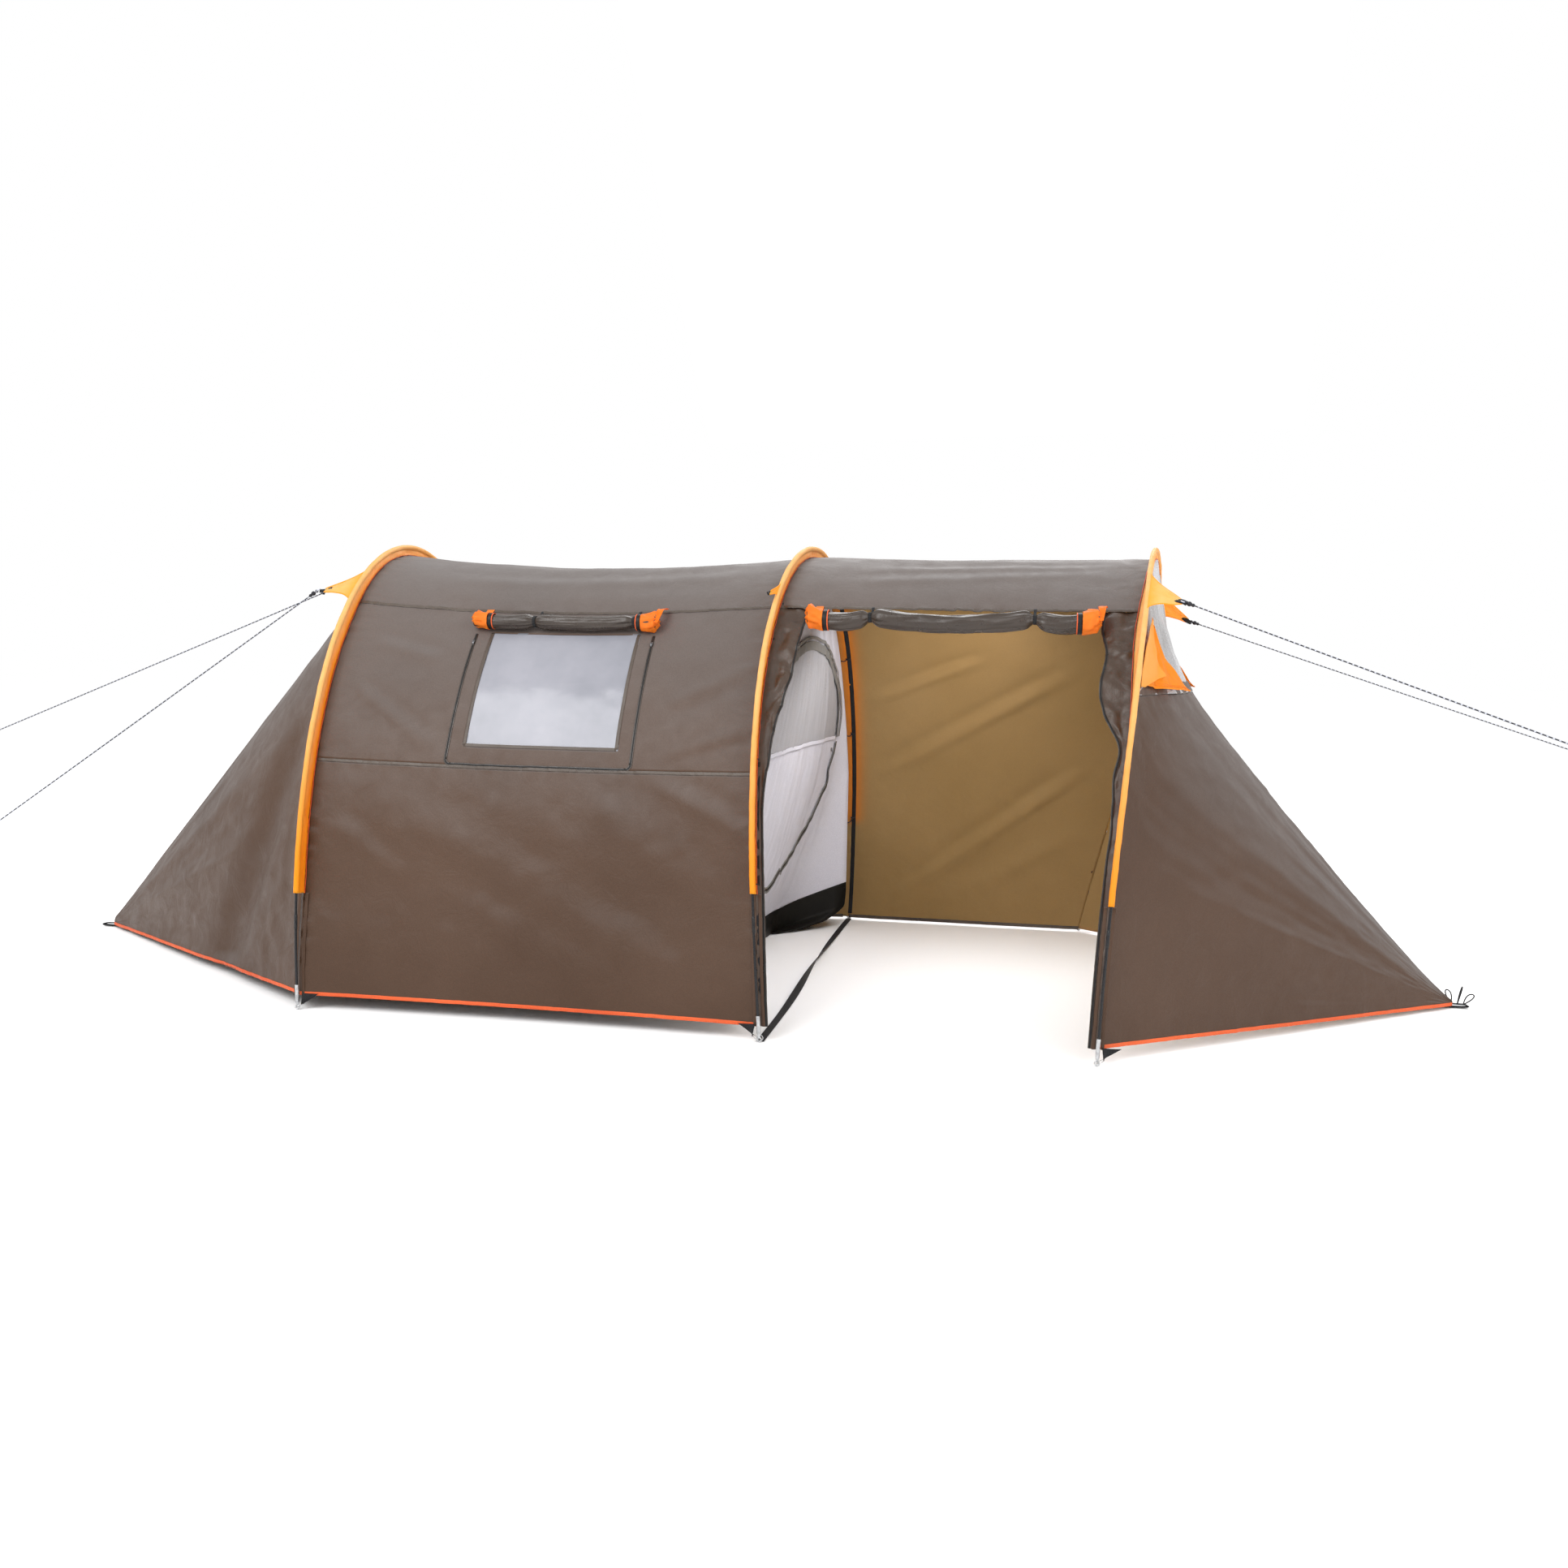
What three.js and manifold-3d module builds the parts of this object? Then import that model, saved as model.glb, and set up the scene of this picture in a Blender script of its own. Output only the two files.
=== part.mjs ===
// Three-hoop tunnel tent with a roll-up side door, an inner tent in the rear bay and a wedge at
// each end. Millimetres, +Z up. Origin: on the ground, midway between the two wedge points.
// +X runs from the rear (bedroom) wedge to the front wedge; the door is on the -Y side.
import * as THREE from "three";
import { mergeVertices } from "three/addons/utils/BufferGeometryUtils.js";
import Module from "manifold-3d";

const wasm = await Module();
wasm.setup();

// ---- driving dimensions --------------------------------------------------------------------
const FOOT_Y = 975; // centre line of the tent to each pole foot
const POLE_TOP = 1528; // pole centre line above the ground at the apex
const POLE_R = 4.25;
const HOOPS = {
  rear: { x: -1161, lean: -66, twist: 0, belly: 0, sleeveEnd: 370, ringSide: 1 },
  middle: { x: 341, lean: -20, twist: 50, belly: -10, sleeveEnd: 440, ringSide: -1 },
  front: { x: 1324, lean: 179, twist: 65, belly: 25, sleeveEnd: 455, ringSide: 1 },
};
const POINT_X = 2555; // wedge points, either side of the origin
const POINT_Z = 15;
const NEAR_HEM_Z = 45;
const FAR_HEM_Z = 12;
const LOW_SEAM_Z = 785; // seam under the window
const ROOF_SEAM_Z = 1310; // seam between wall and roof
// The fly hangs inside the pole centre line, closer at the feet and over the roof.
const FLY_INSET = { foot: 14, side: 50, settled: 450, roofLess: 20, roofFrom: 1250 };
const FLY_T = 3;
const GAP = 0.5; // between panels that are sewn to each other
const BAYS = {
  rear: { from: HOOPS.rear, to: HOOPS.middle, wallSag: 20, roofSag: 22 },
  front: { from: HOOPS.middle, to: HOOPS.front, wallSag: 4, roofSag: 2 },
};
const WEDGES = {
  rear: { hoop: HOOPS.rear, side: -1, drop: 0 },
  front: { hoop: HOOPS.front, side: 1, drop: 300 },
};
// A dropped wedge falls within this share of its length, and flattens out with this power.
const WEDGE_DROP = { within: 0.05, flatten: 0.7 };
const WEDGE_CROWD = 1.6; // how much closer together its steps are near the hoop
const WEDGE_START = 0.0004; // share of the way to its point at which a wedge's cloth starts
const WEDGE_END = 0.965; // share of the way to its point that a wedge's cloth reaches
const RIDGE_GAP = 0.3; // from each half of a wedge to the centre line
const VENT_Z = 1050; // bottom edge of the front vent
const WINDOW = { x0: -702, x1: -188, low: 855, high: 1232, zip0: -757, zip1: -134, zipTop: 1195 };
const DOOR = {
  rear: { jamb: 18, flare: 72, flareFrom: 680, flareTo: 1240 },
  front: { jamb: 20, flare: 72, flareFrom: 840, flareTo: 1060 },
};
const ROLL_Z = 1256;
const ROLL_CLEAR = 3; // from a roll to the fly
const WINDOW_ROLL = { x0: -765, x1: -128, r: 25 };
const DOOR_ROLL = { x0: 385, x1: 1300, r: 31 };
const TUB_H = 90;
const INNER_INSET = 85; // inner tent inside the pole centre line
const INNER_REAR_X = -1130;
const INNER_TOP_Z = 1385;
const HALF_MOON = { halfWidth: 620, base: 820, height: 360, depth: 600 };
const CORD_R = 2;

const parts = new THREE.Group();
const fabric = (color) => new THREE.MeshStandardMaterial({ color, roughness: 0.75 });
const TAUPE = fabric(0x6b5a4b);
const ORANGE = fabric(0xff9d1e);
const WHITE = fabric(0xcfccd2);
const GREY_MESH = fabric(0x9d9c98);
const BLACK = fabric(0x1f1d1b);
const CLEAR = new THREE.MeshStandardMaterial({
  color: 0xbfc4c8, roughness: 0.2, opacity: 0.5, transparent: true,
});
const STEEL = new THREE.MeshStandardMaterial({ color: 0xb4b8bc, roughness: 0.3, metalness: 1 });
const ROD = new THREE.MeshStandardMaterial({ color: 0x161616, roughness: 0.35 });
const PLASTIC = new THREE.MeshStandardMaterial({ color: 0x101014, roughness: 0.5 });

// ---- mesh tools ----------------------------------------------------------------------------
function clean(geometry) {
  const bare = geometry.clone();
  bare.deleteAttribute("normal");
  bare.deleteAttribute("uv");
  return mergeVertices(bare, 1e-4);
}

function signedVolume(geometry) {
  const p = geometry.attributes.position;
  const index = geometry.index;
  const [a, b, c] = [new THREE.Vector3(), new THREE.Vector3(), new THREE.Vector3()];
  let sum = 0;
  for (let i = 0; i < index.count; i += 3) {
    a.fromBufferAttribute(p, index.getX(i));
    b.fromBufferAttribute(p, index.getX(i + 1));
    c.fromBufferAttribute(p, index.getX(i + 2));
    sum += a.dot(b.cross(c)) / 6;
  }
  return sum;
}

// Moves every vertex of a closed geometry with place(x, y, z) and keeps its faces pointing out.
function mapped(geometry, place) {
  const solid = clean(geometry);
  const p = solid.attributes.position;
  for (let i = 0; i < p.count; i += 1) {
    const q = place(p.getX(i), p.getY(i), p.getZ(i));
    p.setXYZ(i, q.x, q.y, q.z);
  }
  if (signedVolume(solid) < 0) {
    const order = solid.index.array;
    for (let i = 0; i < order.length; i += 3) {
      [order[i], order[i + 1]] = [order[i + 1], order[i]];
    }
  }
  return solid;
}

// A thin closed sheet: point(u, v, lift) gives the surface, u and v from 0 to 1, lift outwards.
function sheet(nu, nv, point, low = -FLY_T, high = 0) {
  const unit = new THREE.BoxGeometry(1, 1, 1, nu, nv, 1).translate(0.5, 0.5, 0.5);
  return mapped(unit, (u, v, w) => point(u, v, THREE.MathUtils.lerp(low, high, w)));
}

function toSolid(geometry) {
  const bare = clean(geometry);
  return new wasm.Manifold(new wasm.Mesh({
    numProp: 3,
    vertProperties: new Float32Array(bare.attributes.position.array),
    triVerts: new Uint32Array(bare.index.array),
  }));
}

function fromSolid(solid) {
  const mesh = solid.getMesh();
  const geometry = new THREE.BufferGeometry();
  geometry.setAttribute("position", new THREE.BufferAttribute(mesh.vertProperties, 3));
  geometry.setIndex(new THREE.BufferAttribute(mesh.triVerts, 1));
  return geometry;
}

const cut = (body, tool) => fromSolid(toSolid(body).subtract(toSolid(tool)));
const common = (body, tool) => fromSolid(toSolid(body).intersect(toSolid(tool)));
const joined = (list) => fromSolid(list.map(toSolid).reduce((all, next) => all.add(next)));

function add(name, geometry, material) {
  geometry.computeVertexNormals();
  const mesh = new THREE.Mesh(geometry, material);
  mesh.name = name;
  parts.add(mesh);
}

function box(low, high) {
  const size = high.map((value, i) => value - low[i]);
  const centre = high.map((value, i) => (value + low[i]) / 2);
  return new THREE.BoxGeometry(...size).translate(...centre);
}

// ---- the hoop curve and the surfaces hung from it ------------------------------------------
// angle is 0 at the near foot, a quarter turn at the apex and a half turn at the far foot.
function outwardAt(angle) {
  return new THREE.Vector3(0, -Math.cos(angle) / FOOT_Y, Math.sin(angle) / POLE_TOP).normalize();
}

function hoopPoint(hoop, angle, inset) {
  const swing = Math.sin(2 * angle);
  const x = hoop.x + hoop.lean * Math.sin(angle) - hoop.twist * swing + hoop.belly * swing * swing;
  const onPole = new THREE.Vector3(x, -FOOT_Y * Math.cos(angle), POLE_TOP * Math.sin(angle));
  return onPole.addScaledVector(outwardAt(angle), -inset);
}

function flyInset(angle) {
  const height = POLE_TOP * Math.sin(angle);
  const settled = THREE.MathUtils.smoothstep(height, 0, FLY_INSET.settled);
  const roof = THREE.MathUtils.smoothstep(height, FLY_INSET.roofFrom, POLE_TOP);
  return THREE.MathUtils.lerp(FLY_INSET.foot, FLY_INSET.side, settled) - FLY_INSET.roofLess * roof;
}

const flyAt = (hoop, angle) => hoopPoint(hoop, angle, flyInset(angle));

// The near-side angle at which the fly reaches a height; the far side is its mirror image.
function angleAt(height) {
  let [low, high] = [0, Math.PI / 2];
  for (let i = 0; i < 40; i += 1) {
    const middle = (low + high) / 2;
    if (flyAt(HOOPS.middle, middle).z < height) low = middle;
    else high = middle;
  }
  return low;
}
const farAngleAt = (height) => Math.PI - angleAt(height);

// A point of a bay's fly at a given x; the cloth sags inwards between its two hoops.
function bayPoint(bay, x, angle, lift = 0) {
  const a = flyAt(bay.from, angle);
  const b = flyAt(bay.to, angle);
  const u = (x - a.x) / (b.x - a.x);
  const sag = 4 * u * (1 - u) * (bay.wallSag + bay.roofSag * Math.sin(angle));
  return a.lerp(b, u).addScaledVector(outwardAt(angle), lift - sag);
}

// A panel of a bay between two angles, from edge to edge or between two functions of the angle.
function bayPanel(bay, angle0, angle1, nu, nv, left = () => 0, right = () => 0, low = -FLY_T, high = 0) {
  const trim = GAP / 2 / POLE_TOP;
  return sheet(nu, nv, (u, v, lift) => {
    const angle = THREE.MathUtils.lerp(angle0 + trim, angle1 - trim, v);
    const x0 = flyAt(bay.from, angle).x + GAP + left(angle);
    const x1 = flyAt(bay.to, angle).x - GAP - right(angle);
    return bayPoint(bay, THREE.MathUtils.lerp(x0, x1, u), angle, lift);
  }, low, high);
}

// Wedge surface: straight lines from the hoop to the wedge point, pulled down below the hoop
// where drop is set, so that the ridge falls steeply first and then runs out flat.
function onWedge(wedge, u, angle) {
  const point = new THREE.Vector3(wedge.side * POINT_X, 0, POINT_Z);
  const at = flyAt(wedge.hoop, angle).lerp(point, u);
  at.z -= wedge.drop * Math.sin(angle) ** 2 * (1 - Math.exp(-u / WEDGE_DROP.within))
    * (1 - u) ** WEDGE_DROP.flatten;
  return at;
}

// A point of a surface at(u, v), raised along the surface's own normal.
function raised(at, u, v, lift) {
  const step = 1e-4;
  const here = at(u, v);
  const along = at(u + step, v).sub(here);
  const round = at(u, v + step).sub(here);
  return here.addScaledVector(along.cross(round).normalize(), lift);
}

function wedgePoint(wedge, u, angle, lift) {
  return raised((a, b) => onWedge(wedge, a, b), u, angle, wedge.side * lift);
}

// Share of the way to the wedge point, with the steps closer together near the hoop.
const alongWedge = (u, end) => THREE.MathUtils.lerp(WEDGE_START, end, u ** WEDGE_CROWD);

function wedgePanel(wedge, side, angle0, angle1) {
  return sheet(6, 8, (u, v, lift) => {
    const at = wedgePoint(wedge, alongWedge(u, WEDGE_END), THREE.MathUtils.lerp(angle0, angle1, v), lift);
    at.y += side * RIDGE_GAP;
    return at;
  }, 0, FLY_T);
}

// ---- poles, sleeves, pole ends and rings ---------------------------------------------------
const SLEEVE_STEPS = 28;
const TAIL_STEPS = 3;
const PIN = { r: 6, bore: 5, floor: 26, top: 80, clear: 10, eyeZ: 9, eyeR: 3.2 };
const POLE_START_Z = 30;
const FIN_GAP = 5; // from the edge of a sleeve's fin to the fly
const SLEEVE = { r: 9, bore: 6.2, halfFin: 2, fin: -13, opening: 1.2 };
const RING = { r: 11.5, wire: 0.9, tilt: Math.PI / 6 };

function poleAngle(hoop, step) {
  const end = Math.asin(hoop.sleeveEnd / POLE_TOP);
  const aboveFoot = Math.asin((PIN.top + PIN.clear) / POLE_TOP);
  if (step === 0) return Math.asin(POLE_START_Z / POLE_TOP);
  if (step < TAIL_STEPS) return THREE.MathUtils.lerp(aboveFoot, end, (step - 1) / (TAIL_STEPS - 1));
  const last = 2 * TAIL_STEPS + SLEEVE_STEPS;
  if (step > TAIL_STEPS + SLEEVE_STEPS) return Math.PI - poleAngle(hoop, last - step);
  return THREE.MathUtils.lerp(end, Math.PI - end, (step - TAIL_STEPS) / SLEEVE_STEPS);
}

function alongHoop(hoop, shape, step0, steps, inwardReach) {
  const options = { depth: steps, steps, bevelEnabled: false, curveSegments: 3 };
  const raw = new THREE.ExtrudeGeometry(shape, options);
  return mapped(raw, (across, outward, z) => {
    const angle = poleAngle(hoop, step0 + Math.round(z));
    const reach = outward < SLEEVE.fin ? inwardReach(angle) : -outward;
    const at = hoopPoint(hoop, angle, reach);
    at.x += across;
    return at;
  });
}

function poleGeometry(hoop) {
  const section = new THREE.Shape().absarc(0, 0, POLE_R, 0, 2 * Math.PI);
  const raw = new THREE.Shape(section.getPoints(4));
  return alongHoop(hoop, raw, 0, SLEEVE_STEPS + 2 * TAIL_STEPS, () => 0);
}

// The sleeve is a tube round the pole with a fin that runs in to the fly.
function sleeveGeometry(hoop) {
  const { r, bore, halfFin, opening } = SLEEVE;
  const section = new THREE.Shape();
  section.moveTo(-halfFin, -FLY_INSET.side);
  section.lineTo(halfFin, -FLY_INSET.side);
  section.lineTo(halfFin, -r);
  section.absarc(0, 0, r, -opening, Math.PI + opening);
  section.lineTo(-halfFin, -r);
  section.holes.push(new THREE.Path().absarc(0, 0, bore, 0, 2 * Math.PI, true));
  return alongHoop(hoop, section, TAIL_STEPS, SLEEVE_STEPS, (angle) => flyInset(angle) - FIN_GAP);
}

// A pole end stands flat on the ground and leans with its pole.
function footAxis(hoop, far) {
  const angleFor = (z) => (far ? Math.PI - Math.asin(z / POLE_TOP) : Math.asin(z / POLE_TOP));
  const low = hoopPoint(hoop, angleFor(POLE_START_Z), 0);
  const high = hoopPoint(hoop, angleFor(PIN.top), 0);
  const slope = high.clone().sub(low).divideScalar(high.z - low.z);
  return (z) => low.clone().addScaledVector(slope, z - low.z);
}

function pinGeometry(axis) {
  const { r, bore, floor, top } = PIN;
  const profile = [[0, 0], [r, 0], [r, top], [bore, top], [bore, floor], [0, floor]];
  const outline = profile.map(([x, y]) => new THREE.Vector2(x, y));
  const upright = new THREE.LatheGeometry(outline, 14).rotateX(Math.PI / 2);
  const eye = new THREE.CylinderGeometry(PIN.eyeR, PIN.eyeR, 4 * PIN.r, 12).translate(0, 0, PIN.eyeZ);
  return mapped(cut(upright, eye), (x, y, z) => axis(z).add(new THREE.Vector3(x, y, 0)));
}

function ringGeometry(axis, side) {
  const offset = new THREE.Vector3(side * Math.cos(RING.tilt), 0, Math.sin(RING.tilt)).multiplyScalar(RING.r);
  const centre = axis(PIN.eyeZ).add(offset);
  const raw = new THREE.TorusGeometry(RING.r, RING.wire, 5, 14);
  return mapped(raw, (x, y, z) => {
    const along = new THREE.Vector3(side * Math.cos(RING.tilt), 0, Math.sin(RING.tilt));
    const normal = new THREE.Vector3(-side * Math.sin(RING.tilt), 0, Math.cos(RING.tilt));
    const across = new THREE.Vector3(0, y, 0);
    return centre.clone().add(across).addScaledVector(along, x).addScaledVector(normal, z);
  });
}

for (const [name, hoop] of Object.entries(HOOPS)) {
  add(`${name}_pole`, poleGeometry(hoop), ROD);
  add(`${name}_sleeve`, sleeveGeometry(hoop), ORANGE);
  for (const side of ["near", "far"]) {
    const axis = footAxis(hoop, side === "far");
    add(`${name}_pole_end_${side}`, pinGeometry(axis), STEEL);
    add(`${name}_ring_${side}`, ringGeometry(axis, hoop.ringSide), STEEL);
  }
}

// ---- fly: roofs and walls ------------------------------------------------------------------
const NEAR_HEM = angleAt(NEAR_HEM_Z);
const FAR_HEM = farAngleAt(FAR_HEM_Z);
const LOW_SEAM = angleAt(LOW_SEAM_Z);
const ROOF_SEAM = angleAt(ROOF_SEAM_Z);

// A block over the window, thick to cut with or thin as the pane.
function windowBlock(grow, low, high) {
  const angle0 = angleAt(WINDOW.low) - grow / POLE_TOP;
  const angle1 = angleAt(WINDOW.high) + grow / POLE_TOP;
  return sheet(4, 6, (u, v, lift) => bayPoint(
    BAYS.rear,
    THREE.MathUtils.lerp(WINDOW.x0 - grow, WINDOW.x1 + grow, u),
    THREE.MathUtils.lerp(angle0, angle1, v),
    lift,
  ), low, high);
}

function jambWidth(edge, angle) {
  const height = flyAt(HOOPS.middle, angle).z;
  return edge.jamb + edge.flare * THREE.MathUtils.smoothstep(height, edge.flareFrom, edge.flareTo);
}
const frontBayWidth = (angle) => flyAt(HOOPS.front, angle).x - flyAt(HOOPS.middle, angle).x - 2 * GAP;

for (const [name, bay] of Object.entries(BAYS)) {
  add(`${name}_roof`, bayPanel(bay, ROOF_SEAM, Math.PI - ROOF_SEAM, 4, 10), TAUPE);
  add(`${name}_wall_far`, bayPanel(bay, Math.PI - ROOF_SEAM, FAR_HEM, 4, 9), TAUPE);
}
add("rear_wall_near_lower", bayPanel(BAYS.rear, NEAR_HEM, LOW_SEAM, 4, 6), TAUPE);
const upperWall = bayPanel(BAYS.rear, LOW_SEAM, ROOF_SEAM, 6, 6);
const PANE = { margin: 1, low: -2.5, high: -1 };
const CUT_REACH = 60; // to each side of the wall
add("rear_wall_near_upper", cut(upperWall, windowBlock(0, -CUT_REACH, CUT_REACH)), TAUPE);
add("window_pane", windowBlock(-PANE.margin, PANE.low, PANE.high), CLEAR);
add("door_jamb_rear", bayPanel(BAYS.front, NEAR_HEM, ROOF_SEAM, 1, 12, () => 0,
  (angle) => frontBayWidth(angle) - jambWidth(DOOR.rear, angle)), TAUPE);
add("door_jamb_front", bayPanel(BAYS.front, NEAR_HEM, ROOF_SEAM, 1, 12,
  (angle) => frontBayWidth(angle) - jambWidth(DOOR.front, angle), () => 0), TAUPE);

// ---- fly: end wedges and the front vent ----------------------------------------------------
const BEYOND = { x: 3000, y: 1500, z: 2000 }; // past the front wedge on every side
const aboveVent = (gap) => box([0, -BEYOND.y, VENT_Z + gap], [BEYOND.x, BEYOND.y, BEYOND.z]);
const halves = { near: [-1, NEAR_HEM, Math.PI / 2], far: [1, Math.PI / 2, FAR_HEM] };
for (const [name, [side, angle0, angle1]] of Object.entries(halves)) {
  add(`rear_wedge_${name}`, wedgePanel(WEDGES.rear, side, angle0, angle1), TAUPE);
  add(`front_wedge_${name}`, cut(wedgePanel(WEDGES.front, side, angle0, angle1), aboveVent(0)), TAUPE);
}
const VENT = { margin: 40, reach: 0.3, low: 0.8, high: 2.2 };
const VENT_EDGE = angleAt(VENT_Z - VENT.margin);
const ventCloth = sheet(6, 12, (u, v, lift) => wedgePoint(
  WEDGES.front,
  alongWedge(u, VENT.reach),
  THREE.MathUtils.lerp(VENT_EDGE, Math.PI - VENT_EDGE, v),
  lift,
), VENT.low, VENT.high);
add("vent_mesh", common(ventCloth, aboveVent(GAP)), GREY_MESH);

// A vent hood is a stiff triangular awning that stands off the mesh along its lower edge. Its
// corners are low and high on the sleeve, and out on the wedge near the ridge.
const HOOD = {
  low: 1115, high: 1335, from: 0.008, to: 0.1, taper: 0.92, fromRidge: 0.38, stand: 12, proud: 42, t: 3,
};
function hoodGeometry(far) {
  const angle0 = angleAt(HOOD.low);
  const angle1 = angleAt(HOOD.high);
  const surface = (u, v) => {
    const out = THREE.MathUtils.lerp(HOOD.from, HOOD.to, u * (1 - HOOD.taper * v));
    const lowEdge = THREE.MathUtils.lerp(angle0, Math.PI / 2 - HOOD.fromRidge, u);
    const angle = THREE.MathUtils.lerp(lowEdge, angle1, v);
    const lift = THREE.MathUtils.lerp(HOOD.stand, HOOD.proud, (1 - v) * u);
    return wedgePoint(WEDGES.front, out, far ? Math.PI - angle : angle, lift);
  };
  return sheet(9, 8, (u, v, lift) => raised(surface, u, v, lift), 0, HOOD.t);
}
add("vent_hood_near", hoodGeometry(false), ORANGE);
add("vent_hood_far", hoodGeometry(true), ORANGE);

const LOOP = { inner: 2522, outer: 2600, halfWidth: 13, t: 3 };
function wedgeLoop(side) {
  const outline = new THREE.Shape();
  const { inner, outer, halfWidth, t } = LOOP;
  outline.moveTo(inner, -halfWidth);
  outline.lineTo(outer - halfWidth, -halfWidth);
  outline.absarc(outer - halfWidth, 0, halfWidth, -Math.PI / 2, Math.PI / 2);
  outline.lineTo(inner, halfWidth);
  outline.closePath();
  outline.holes.push(new THREE.Path().absarc(outer - halfWidth, 0, halfWidth / 2, 0, 2 * Math.PI, true));
  const raw = new THREE.ExtrudeGeometry(outline, { depth: t, bevelEnabled: false, curveSegments: 6 });
  return mapped(raw, (x, y, z) => new THREE.Vector3(side * x, y, z));
}
add("rear_point_loop", wedgeLoop(-1), BLACK);
add("front_point_loop", wedgeLoop(1), BLACK);

// ---- rolled covers and zip sliders ---------------------------------------------------------
// A roll lies along the bay just outside the fly, drooping a little between its two ties.
function rollGeometry(bay, roll) {
  const upright = new THREE.CylinderGeometry(roll.r, roll.r, 1, 12, 12);
  const raw = upright.rotateZ(-Math.PI / 2).translate(0.5, 0, 0);
  const angle = angleAt(ROLL_Z);
  return mapped(raw, (u, y, z) => {
    const at = bayPoint(bay, THREE.MathUtils.lerp(roll.x0, roll.x1, u), angle, roll.r + ROLL_CLEAR);
    return at.add(new THREE.Vector3(0, y, z));
  });
}
add("window_cover_roll", rollGeometry(BAYS.rear, WINDOW_ROLL), TAUPE);
add("door_flap_roll", rollGeometry(BAYS.front, DOOR_ROLL), TAUPE);

const SLIDER = { width: 9, length: 16, depth: 5, stand: 3 };
function windowSlider(x) {
  const raw = new THREE.BoxGeometry(SLIDER.width, SLIDER.length, SLIDER.depth);
  const angle = angleAt(WINDOW.zipTop);
  const origin = bayPoint(BAYS.rear, x, angle, SLIDER.stand + SLIDER.depth / 2);
  const outward = outwardAt(angle);
  const up = new THREE.Vector3(0, outward.z, -outward.y);
  return mapped(raw, (a, b, c) => origin.clone().add(new THREE.Vector3(a, 0, 0))
    .addScaledVector(up, b).addScaledVector(outward, c));
}
add("window_slider_rear", windowSlider(WINDOW.zip0), STEEL);
add("window_slider_front", windowSlider(WINDOW.zip1), STEEL);

// ---- inner tent ----------------------------------------------------------------------------
const INNER = {
  floor: 2, wall: 2, side: 780, clear: 4, pullBack: 270, cornerRise: 100, front: -22, skew: 32, top: 30,
};
const INNER_GAP = { rim: 1, canopyRim: 8, canopySide: 12, rearWall: 2, canopyRear: 4 };
// Powers that keep the front edge's pull and rise to its corners, and fade them out up the wall.
const INNER_BEND = { corner: 10, rise: 20, fade: 2.2 };
const INNER_TUB_ANGLE = angleAt(TUB_H + INNER_GAP.canopyRim);

// Bottom front edge of the inner tent: slack, pulled back from the hoop except at its corners.
const pullAt = (across) => INNER.pullBack * (1 - Math.abs(across) ** INNER_BEND.corner);
const riseAt = (across) => INNER.cornerRise * Math.abs(across) ** INNER_BEND.corner;
const archX = (across) => HOOPS.middle.x + INNER.front + INNER.skew * across;

function floorPoint(u, across) {
  const x1 = archX(across) - pullAt(across);
  const lifted = riseAt(across) * u ** INNER_BEND.rise;
  return new THREE.Vector3(THREE.MathUtils.lerp(INNER_REAR_X, x1, u), across * INNER.side, lifted);
}

function tubGeometry() {
  const up = (point, z) => point.clone().add(new THREE.Vector3(0, 0, z));
  const floor = sheet(7, 16, (u, v, lift) => up(floorPoint(u, 2 * v - 1), lift), 0, INNER.floor);
  const rim = (nu, edge, inward) => sheet(nu, 1, (u, v, lift) => (
    up(edge(u), v * TUB_H).addScaledVector(inward, lift)
  ), 0, INNER.wall);
  const walls = [
    rim(7, (u) => floorPoint(u, -1), new THREE.Vector3(0, 1, 0)),
    rim(7, (u) => floorPoint(u, 1), new THREE.Vector3(0, -1, 0)),
    rim(16, (u) => floorPoint(0, 2 * u - 1), new THREE.Vector3(1, 0, 0)),
    rim(16, (u) => floorPoint(1, 2 * u - 1), new THREE.Vector3(-1, 0, 0)),
  ];
  return joined([floor, ...walls]);
}
add("inner_groundsheet", tubGeometry(), BLACK);

// Half width of the inner tent at a height, and its front wall from tub to top.
function innerHalf(z) {
  const share = z / (POLE_TOP - INNER_INSET);
  return (FOOT_Y - INNER_INSET) * Math.sqrt(1 - share ** 2) - INNER_GAP.canopySide;
}

function innerFrontPoint(u, v, lift) {
  const across = 2 * u - 1;
  const z0 = TUB_H + INNER_GAP.rim + riseAt(across);
  const z = THREE.MathUtils.lerp(z0, INNER_TOP_Z, v);
  const half = Math.min(innerHalf(z), INNER.side);
  const x = archX(across * half / INNER.side) - pullAt(across) * (1 - v) ** INNER_BEND.fade;
  return new THREE.Vector3(x + lift, across * half, z);
}

function halfMoon(grow) {
  const outline = new THREE.Shape();
  const base = HALF_MOON.base - grow;
  outline.moveTo(HALF_MOON.halfWidth + grow, base);
  outline.absellipse(0, base, HALF_MOON.halfWidth + grow, HALF_MOON.height + 2 * grow, 0, Math.PI);
  outline.closePath();
  const options = { depth: HALF_MOON.depth, bevelEnabled: false, curveSegments: 12 };
  const raw = new THREE.ExtrudeGeometry(outline, options);
  return mapped(raw, (y, z, x) => new THREE.Vector3(x, y, z));
}
add("inner_front_wall", cut(sheet(16, 6, innerFrontPoint, 0, INNER.wall), halfMoon(0)), WHITE);
add("inner_half_moon_mesh", common(sheet(16, 6, innerFrontPoint, 0.4, 1.6), halfMoon(-GAP)), GREY_MESH);

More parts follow.
